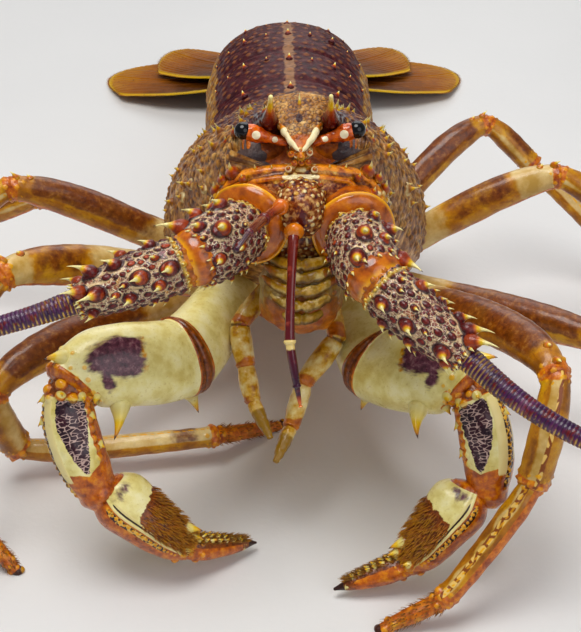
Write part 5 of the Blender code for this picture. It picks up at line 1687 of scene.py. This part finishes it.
def make_carpus(side_name):
    """The short length after the knee: knobs at the knee, a netted patch, a cream stripe and beads."""
    point = front_leg_point(side_name, "carpus")
    tube = leg_tube(point, 120, 140)
    patch_at, patch_wide, stripe_at, stripe_wide = CARPUS_MARKS[side_name]
    patch_edge = patch_at + patch_wide
    knee = step(0.17, 0.11, tube.t)
    away = far_from(tube.q, patch_at, side_name)
    patch = step(patch_wide + 9, patch_wide - 9, away + 75 * np.maximum(tube.t - 0.34, 0))
    patch = patch * tube.span(0.12, 0.2, 0.6, 0.8)
    stripe = step(stripe_wide + 3, stripe_wide - 3, far_from(tube.q, stripe_at, side_name))
    stripe = stripe * tube.span(0.12, 0.2, 0.66, 0.78)
    beads = step(18, 9, far_from(tube.q, stripe_at - 25, side_name)) * tube.span(0.16, 0.26, 0.74, 0.9)
    small = [(t, angle_of(stripe_at - 21, side_name), 0.9, 0.6) for t in np.arange(0.2, 0.84, 0.045)]
    large = [(t, angle_of(patch_edge + 12 - 16 * t, side_name), 1.3, 0.9)
             for t in np.arange(0.18, 0.7, 0.075)]
    spots = scatter(point, 61, (0.8, 2.1), 900, 1.1, lambda t, q: t < 0.16)
    tube.stud(small + large + knobs(spots, 0.85), power=0.8)
    tube.push(0.3 * stripe + 0.15 * noise_of(4, tube.p, 5.0) + 0.9 * hump(0.93, 0.05, tube.t) - 0.25
              * patch)
    joint = 0.95 * step(0.64, 0.72, tube.t + 0.0008 * (away - 20))
    flank = 0.9 * step(28, 20, far_from(tube.q, patch_edge + 22, side_name))
    tube.mark(
        net_patch=patch,
        pale=stripe * 0.95,
        beads=beads,
        orange=np.maximum.reduce((knee, joint, flank)) * (1 - patch),
        rust=0.6 * knee * step(0.35, 0.0, tube.masks["knob"]),
        lit=0.3 + 0.6 * knee,
    )
    piece = tube.add_to(Piece(), (3.0, 2.5))
    for degrees, t, length in (
        (patch_at - 20, 0.12, 3.0), (patch_at + 30, 0.1, 3.4), (stripe_at - 30, 0.3, 2.4),
        (stripe_at - 30, 0.16, 3.0), (patch_at + 52, 0.3, 2.6), (patch_at + 50, 0.55, 2.4),
    ):
        spine_on(piece, tube, t, angle_of(degrees, side_name), length, 1.7, 0.8, bulb=0.6, orange=1.0)
    piece.build(f"leg1_carpus_shell_{side_name}", "claw", "claw", f"leg1_carpus_{side_name}")


def make_hand(side_name):
    """The hand: pale stripes with a dark line between them, a rust field of bristles and a spine."""
    point = front_leg_point(side_name, "propodus")
    tube = leg_tube(point, 120, 130)
    past = signed_from(tube.q, HAND_LINE, side_name)
    lower = step(-8, -14, past) * step(-130, -110, past)
    rust = step(0.34, 0.5, tube.t + 0.0006 * past) * step(0.97, 0.9, tube.t)
    rust = rust * step(-4, 4, past) * step(110, 90, past)
    stripe = hump(0, 3.2, past + 9) + hump(0, 3.2, past - 2)
    dark_line = hump(0, 2.6, past + 3.5) * tube.span(0.1, 0.2, 0.7, 0.85)
    beads = [(t, angle_of(HAND_LINE - 20, side_name), 0.7, 0.4) for t in np.arange(0.15, 0.85, 0.04)]
    spots = scatter(point, 71, (0.7, 1.6), 500, 1.2, lambda t, q: t > 0.9)
    tube.stud(beads + knobs(spots, 0.7), power=0.8)
    tube.push(0.35 * stripe + 0.12 * noise_of(7, tube.p, 5.0) - 0.2 * dark_line)
    tube.mark(
        patch=0.527 * hump(0.13, 0.1, tube.t) * step(50, 10, far_from(tube.q, 5, side_name)),
        rust=rust,
        orange=np.maximum.reduce((lower, 0.9 * step(0.88, 0.94, tube.t), 0.9 * step(0.03, 0.0, tube.t))),
        dark=dark_line * 0.9,
        beads=0.9 * step(9, 5, far_from(tube.q, HAND_LINE - 21, side_name)) * tube.span(0.1, 0.2, 0.7, 0.8),
        pale=clamp01(stripe) * 0.8 * (1 - rust) * tube.span(0.08, 0.2, 0.74, 0.86),
        lit=0.8,
    )
    piece = tube.add_to(Piece(), (2.0, 2.0))
    for t, degrees, length, radius, lean, more in HAND_SPINES:
        spine_on(piece, tube, t, angle_of(degrees, side_name), length, radius, lean, **more)
    piece.build(f"leg1_hand_shell_{side_name}", "claw", "claw", f"leg1_propodus_{side_name}")
    draw = np.random.default_rng(81)
    spots = []
    while len(spots) < 900:
        t, degrees = 0.38 + 0.57 * draw.random(), -2 + 102 * draw.random()
        if t + 0.0006 * degrees > 0.42 + 0.05 * draw.random():
            spots.append((t, angle_of(HAND_LINE + degrees, side_name)))
    bristle_field(f"hand_bristles_{side_name}", tube, spots, 2.6, 0.28, 1.5, 83, "claw")


def make_finger(side_name):
    """The finger: orange, with a dark point, three rows of spines and bristles on its inner side."""
    point = front_leg_point(side_name, "dactyl")
    tube = leg_tube(point, 100, 90)
    tube.stud(knobs(scatter(point, 91, (0.5, 1.2), 500, 1.3, lambda t, q: t < 0.2), 0.6), power=0.8)
    inner = far_from(tube.q, 60, side_name)
    tube.push(0.1 * noise_of(9, tube.p, 3.0))
    tube.mark(
        orange=0.95 * step(0.82, 0.72, tube.t),
        rust=np.maximum(0.8 * step(70, 50, inner) * step(0.05, 0.12, tube.t),
                        0.5 * step(0.5, 0.75, tube.t)),
        dark=step(0.80, 0.9, tube.t),
        lit=0.6,
    )
    tube.p[..., 2] = np.maximum(tube.p[..., 2], SOLE_HEIGHT)
    piece = tube.add_to(Piece(), (1.6, 0.3))
    for i in range(7):
        for degrees in (35, 62, 90):
            q = angle_of(degrees, side_name)
            spine_on(piece, tube, 0.12 + 0.1 * i, q, 2.6 - 0.2 * i, 0.9, 0.9, bulb=0.3, rust=1.0, dark=0.3)
    piece.build(f"leg1_finger_shell_{side_name}", "claw", "claw", f"leg1_dactyl_{side_name}")
    draw = np.random.default_rng(93)
    spots = [(0.08 + 0.74 * draw.random(), angle_of(15 + 90 * draw.random(), side_name))
             for _ in range(420)]
    bristle_field(f"finger_bristles_{side_name}", tube, spots, 2.3, 0.25, 1.2, 95, "claw", 1.0)


# Walking legs. The dark patch over a thigh: how strong it is and where it starts and ends
THIGH_PATCH = {"leg4_left": (0.62, 0.48, 0.8), "leg2_right": (0.6, 0.66, 0.9)}
OTHER_THIGH_PATCH = (0.85, 0.42, 0.93)


def walking_masks(name, k, tube, upward, ends):
    """Masks of length k of a walking leg, from how far its skin faces up and how near its ends are."""
    orange = clamp01(np.maximum(ends * 1.1, 0.75 * step(-0.35, -0.8, upward)))
    if name == "leg2_left" and k in (1, 2):
        # This leg's cream field has a dark net at its edge
        line, net_at, net_wide = (226, 8, 13) if k == 1 else (212, -10, 20)
        past = np.degrees(tube.q) - line
        return {
            "patch": 0.45 * hump(-42, 12, past),
            "cream": 0.8 * step(36, 8, np.abs(past + 14 + 9 * noise_of(171 + k, tube.p, 7.0))),
            "beads": 0.8 * hump(net_at, net_wide, past),
            "orange": np.maximum(clamp01(ends), 0.95 * step(26, 40, past) * (k == 2)),
        }
    if k == 3:
        return {"orange": np.maximum(orange, 0.55), "dark": 0.9 * step(0.84, 0.95, tube.t)}
    if k == 0:
        strong, start, end = THIGH_PATCH.get(name, OTHER_THIGH_PATCH)
        over_top = tube.span(start - 0.08, start + 0.08, end - 0.08, end)
        patch = strong * over_top * step(-0.25, 0.25, upward)
        cream = 0.9 * np.maximum(step(0.62, 0.3, tube.t), (name in THIGH_PATCH) * (1 - over_top))
    elif k == 1:
        patch = 0.7 * tube.span(0.2, 0.4, 0.7, 0.9) * step(0.2, 0.6, upward)
        cream = 0.8 * step(0.5, -0.1, np.abs(upward - 0.1))
    else:
        patch = 0.75 * hump(0.8, 0.1, tube.t) * step(0.1, 0.5, upward)
        cream = 0.85 * step(0.1, 0.5, upward)
    return {"patch": patch, "cream": cream, "orange": orange}


def make_walking_leg(name):
    """A walking leg: its thigh, its lower lengths and the bristles of the last."""
    joints, scale = WALKING_JOINTS[name], LEG_SCALE[name[:4]]
    upper, lower = Piece(), Piece()
    for k, sides in enumerate((44, 44, 42, 36)):
        point = walking_point(name, k)
        reach = math.dist(joints[k], joints[k + 1])
        rows = max(36, int(reach / 0.9))
        tube = Tube(point, tiers(rows, 0.003, 0.997), sides)
        upward = dot(unit(tube.p - tube.centre), UP)
        ends = hump(0.0, 3.0 / reach, tube.t) + hump(1.0, 4.0 / reach, tube.t)
        spots = scatter(point, 100 + k, (0.5, 1.1), 500, 1.3,
                        lambda t, q: (t < 4 / reach) | (t > 1 - 6 / reach))
        tube.stud(knobs(spots, 0.7, scale), power=0.8)
        swell = 0.5 * ends * scale + 0.12 * noise_of(k + 3, tube.p, 5.0)
        if k == 2:
            tube.stud([(t, math.radians(degrees), 0.5, 0.25) for degrees in (30, 210)
                       for t in np.arange(0.08, 0.94, 1.5 / reach)], power=0.8)
        tube.push(swell)
        if k == 3:
            tube.p[..., 2] = np.maximum(tube.p[..., 2], SOLE_HEIGHT)
        tube.mark(**walking_masks(name, k, tube, upward, ends))
        tube.add_to(lower if k else upper, (1.5 * scale, 1.2 * scale))
        if k == 0:
            top = tube.furthest(rows // 2, UP)
            for t, length in ((0.965, 4.0), (0.9, 2.0)):
                spine_on(upper, tube, t, top, length * scale, 1.5 * scale, 0.9, bulb=0.4)
    upper.build(f"{name}_thigh", "walking", "leg", f"{name}_upper")
    lower.build(f"{name}_shin", "walking", "leg", f"{name}_lower")
    draw = np.random.default_rng(111)
    spots = [(0.05 + 0.8 * draw.random(), TURN * draw.random()) for _ in range(260)]
    bristle_field(f"{name}_bristles", tube, spots, 2.0 * scale, 0.22, 1.3, 113, "leg", 0.6)


# Abdomen. How far down the side plates of the second to the sixth segment reach
SIDE_PLATES = (13.5, 15, 15, 13, 9)


def make_abdomen():
    """The six rings of the tail, with their side plates, swimmerets and rows of spines."""
    for k in range(1, 7):
        first, last = (k - 1) / 6, k / 6

        def hoop(t, q):
            return 0.95 + 0.075 * np.sin(clamp01((t - first) * 6) * math.pi / 2)

        point = trunk(ABDOMEN, hoop, 2.1, 3.0)
        tube = Tube(point, tiers(40, first - 0.004, last + 0.006), 200)
        share = (tube.t - first) * 6
        spots = scatter(lambda t, q: point(first + (last - first) * t, q), 130 + k, (0.9, 1.9), 2600, 0.95,
                        lambda t, q: (t > 0.3) & (t < 0.93) & (np.sin(q) > -0.1))
        spots = [(first + (last - first) * t, q, radius) for t, q, radius in spots]
        tube.stud(knobs(spots, 0.32), power=1.0, stretch=0.7, tilt=0.6)
        groove = hump(0.26, 0.05, share) * step(-0.1, 0.2, np.sin(tube.q))
        tube.push(0.5 * hump(0.98, 0.04, share) - 0.7 * groove)
        away = np.minimum(np.abs(np.degrees(tube.q) - 90), 180)
        tube.mark(
            flank=step(52, 70, away) * 0.9,
            line=0.75 * hump(0, 4.5, away),
            orange=0.7 * step(84, 96, away) * step(112, 100, away),
            belly=step(104, 116, away),
        )
        piece = tube.add_to(Piece(), (0.3, 0.6))
        for side in SIDES.values():
            if k > 1:
                root = point(first + 0.40 / 6, math.radians(-14 if side > 0 else 194)) - ACROSS * side * 3
                tip = root + np.array((side * 2.5, 7.5, -SIDE_PLATES[k - 2]))
                _, flap = horn_tube(root + np.array((0, -1, 5)), tip, BACKWARD, 8.2, 2.8, 36, 36, 0.0, 0.75)
                flap.push(0.2 * noise_of(k, flap.p, 4.0))
                flap.mark(flank=0.9, orange=0.85 * step(0.35, 0.8, flap.t))
                flap.add_to(piece, (0.5, 0.5))
            if 1 < k < 6:
                hip = point(first + 0.5 / 6, math.radians(270)) + ACROSS * side * 15
                end = hip + np.array((side * 3, 9, -9 - 0.5 * k))
                _, flap = horn_tube(hip + np.array((0, 0, 3)), end, ACROSS, 8, 1.4, 24, 24, 0.0, 0.75)
                flap.mark(belly=0.9)
                flap.add_to(piece, (0.3, 0.3))
        big = (60, 90, 120)
        for degrees in range(30, 151, 15) if k > 1 else big:
            length, radius = (3.0, 1.5) if degrees in big else (1.8, 0.9)
            spine_on(piece, tube, last - 0.22 / 6, math.radians(degrees), length, radius, 1.4, bulb=0.5)
        piece.build(f"tail_ring_{k}", "abdomen", "abdomen", f"abdomen_{k}")


# Tail fan
def plate_faces(rows, columns):
    """Faces of a plate: its upper side, its under side and the skirt between them."""
    i, j = np.meshgrid(np.arange(rows - 1), np.arange(columns - 1), indexing="ij")
    corner = i * columns + j
    sheet = np.stack((corner, corner + 1, corner + columns + 1, corner + columns), -1).reshape(-1, 4)
    rim = np.concatenate((
        np.arange(columns),
        np.arange(1, rows) * columns + columns - 1,
        (rows - 1) * columns + np.arange(columns - 2, -1, -1),
        np.arange(rows - 2, 0, -1) * columns,
    ))
    count, after = rows * columns, np.roll(rim, -1)
    skirt = np.stack((rim, rim + count, after + count, after), -1)
    return [sheet[:, ::-1], sheet + count, skirt[:, ::-1]]


def blade_edge(share):
    """The place at a share of the way round the free edge of a blade, from its inner side to its outer."""
    if 0.25 < share < 0.75:
        return 1.0, -1 + 2 * (share - 0.25) / 0.5
    return 0.45 + 0.55 * (min(share, 1 - share) / 0.25), -1.0 if share < 0.5 else 1.0


def make_blade(name, node, size, side, number):
    """A blade of the tail fan, with ribs and fine rays, and the fringe of bristles round its edge."""
    place = fan_point(size, side)
    rows, columns = 84, 76
    t, w = np.meshgrid(tiers(rows), tiers(columns, -1, 1), indexing="ij")
    middle = place(t, w)
    fade = step(0.0, 0.08, t) * step(1.0, 0.97, t) * step(1.0, 0.94, np.abs(w))
    ribs = sum(hump(at, 0.045, w) for at in (-0.34, 0.0, 0.34)) * (1 - 0.6 * t) * 0.6
    rays = 0.13 * np.sin(w * 62 + 0.6 * np.sin(t * 9)) * step(0.35, 0.6, t) * fade
    grain = 0.12 * noise_of(140 + number, middle, 2.5) * step(0.6, 0.3, t)
    half = FAN_THICK / 2 * (1 - 0.5 * w * w - 0.25 * t) * (0.25 + 0.75 * np.minimum(fade * 1.5, 1))
    top = middle + UP * (half + (ribs + grain) * fade + rays)[..., None]
    under = middle - UP * (half + rays)[..., None]
    under[..., 2] = np.maximum(under[..., 2], SOLE_HEIGHT)
    top[..., 2] = np.maximum(top[..., 2], under[..., 2] + 0.3)
    edge = np.maximum(step(0.86, 1.0, np.abs(w)), step(0.95, 1.0, t))
    own = np.stack((w * 20, t * 60, 0 * t), -1).reshape(-1, 3)
    piece = Piece()
    piece.add(np.concatenate((top.reshape(-1, 3), under.reshape(-1, 3))), plate_faces(rows, columns),
              run=np.tile(t.ravel(), 2), ray=np.tile(w.ravel(), 2), edge=np.tile(edge.ravel(), 2),
              place=np.tile(own, (2, 1)))
    piece.build(name, "fan", "fan", node)
    coat = Coat()
    draw = np.random.default_rng(150 + number)
    for share in np.arange(300) / 299:
        t, w = (np.array(value) for value in blade_edge(share))
        p = place(t, w)
        way = unit(p - place(t * 0.93, w * 0.93) + draw.normal(size=3) * 0.12 * np.array((1, 1, 0.3)))
        root = np.array((p[0], p[1], max(p[2], 0.5)))
        lean = unit(way * np.array((1, 1, 0.2)) + draw.normal(size=3) * 0.12 * np.array((1, 1, 0)))
        coat.tuft(root - way * 0.6, way, lean, 1.5 + draw.random(), 0.16, (0.05 + 0.85 * share, 0.5))
    coat.build(f"{name}_fringe", "fan")


def make_fan():
    """The five blades of the tail fan."""
    blades = [("telson_plate", "telson", TELSON, 1)]
    for side_name, side in SIDES.items():
        for label, size in (("inner", INNER_FAN), ("outer", OUTER_FAN)):
            blades.append((f"fan_{label}_{side_name}", f"tail_fan_{label}_{side_name}", size, side))
    for number, blade in enumerate(blades):
        make_blade(*blade, number)


def make_stage():
    """A plain pale floor, 12 m wide."""
    mesh = bpy.data.meshes.new("floor")
    corners = [(-6, -6, 0), (6, -6, 0), (6, 6, 0), (-6, 6, 0)]
    mesh.from_pydata(corners, [], [(0, 1, 2, 3)])
    floor = in_scene("floor", mesh)
    paint = Paint("floor")
    paint.depth = 1.0
    tone = paint.ramp(paint.noise(260.0, 3.0), (0.35, 220, 220, 220), (0.65, 227, 227, 226))
    mesh.materials.append(paint.finish(tone, 0.45, ((0.1, paint.noise(3.0, 2.0)),), shine=0.3))


# Lamps: name, place, target, size, watts and tint
LAMPS = (
    ("key", (-160, -60, 920), (0, 0, 60), 600, 6.6, (255, 253, 250)),
    ("fill", (500, -700, 600), (0, -60, 50), 900, 2.8, (250, 251, 255)),
    ("back", (100, 900, 700), (0, 60, 60), 900, 3.0, (255, 255, 255)),
)


def aim(made, place, target):
    """Sets an object at a place in the animal's frame, looking at a target."""
    place, target = (np.array(v, float) for v in (place, target))
    way = unit(target - place)
    right = unit(np.cross(way, UP))
    up = np.cross(right, way)
    turn = Matrix([list(row) for row in np.stack((right, up, -way), 1)]).to_4x4()
    turn.translation = [float(x) for x in (place + SHIFT) * MM]
    made.matrix_world = turn


def make_lights():
    """Three soft lamps and a plain bright world."""
    for name, place, target, size, watts, tint in LAMPS:
        lamp = bpy.data.lights.new(name, "AREA")
        lamp.shape = "DISK"
        lamp.size = size * MM
        lamp.energy = watts
        lamp.color = rgb(*tint)[:3]
        aim(in_scene(name, lamp), place, target)
    world = bpy.data.worlds.new("studio")
    world.use_nodes = True
    sky = world.node_tree.nodes["Background"].inputs
    sky["Color"].default_value = rgb(240, 240, 242)
    sky["Strength"].default_value = 0.27
    bpy.context.scene.world = world


# The camera stands in front of the animal and looks down on it.
CAMERA_AT = np.array((-11.7, -450.0, 353.0))
CAMERA_DOWN, CAMERA_TURN = math.radians(33.4), math.radians(1.14)
# The picture's height and the camera's focal length in pixels, and the sensor's width in millimetres
PICTURE_HIGH, PICTURE_FOCUS, SENSOR = 632, 1700, 36.0


def make_camera():
    """The photograph's point of view."""
    camera = bpy.data.cameras.new("camera")
    camera.sensor_width = SENSOR
    camera.lens = SENSOR * PICTURE_FOCUS / PICTURE_HIGH
    camera.clip_start, camera.clip_end = 0.01, 30.0
    made = in_scene("camera", camera)
    level = math.cos(CAMERA_DOWN)
    way = (level * math.sin(CAMERA_TURN), level * math.cos(CAMERA_TURN), -math.sin(CAMERA_DOWN))
    aim(made, CAMERA_AT, CAMERA_AT + np.array(way) * 100)
    bpy.context.scene.camera = made
    bpy.context.scene.view_settings.view_transform = "Standard"


def main():
    """Builds the whole model, and the stage round it."""
    for make in (make_camera, make_lights, make_stage, make_carapace, make_horns, make_crown, make_ridges,
                 make_eyes, make_head, make_feeler_plate, make_mouth, make_chest):
        make()
    for side_name, side in SIDES.items():
        make_cup(side_name, side)
        make_armour("arm", 1, side_name, 201 + side)
        make_armour("wrist", 2, side_name, 211 + side)
        make_whip(side_name)
        for make in (make_ischium, make_merus, make_carpus, make_hand, make_finger):
            make(side_name)
    make_feelers()
    make_maxillipeds()
    for name in WALKING_JOINTS:
        make_walking_leg(name)
    make_abdomen()
    make_fan()


main()
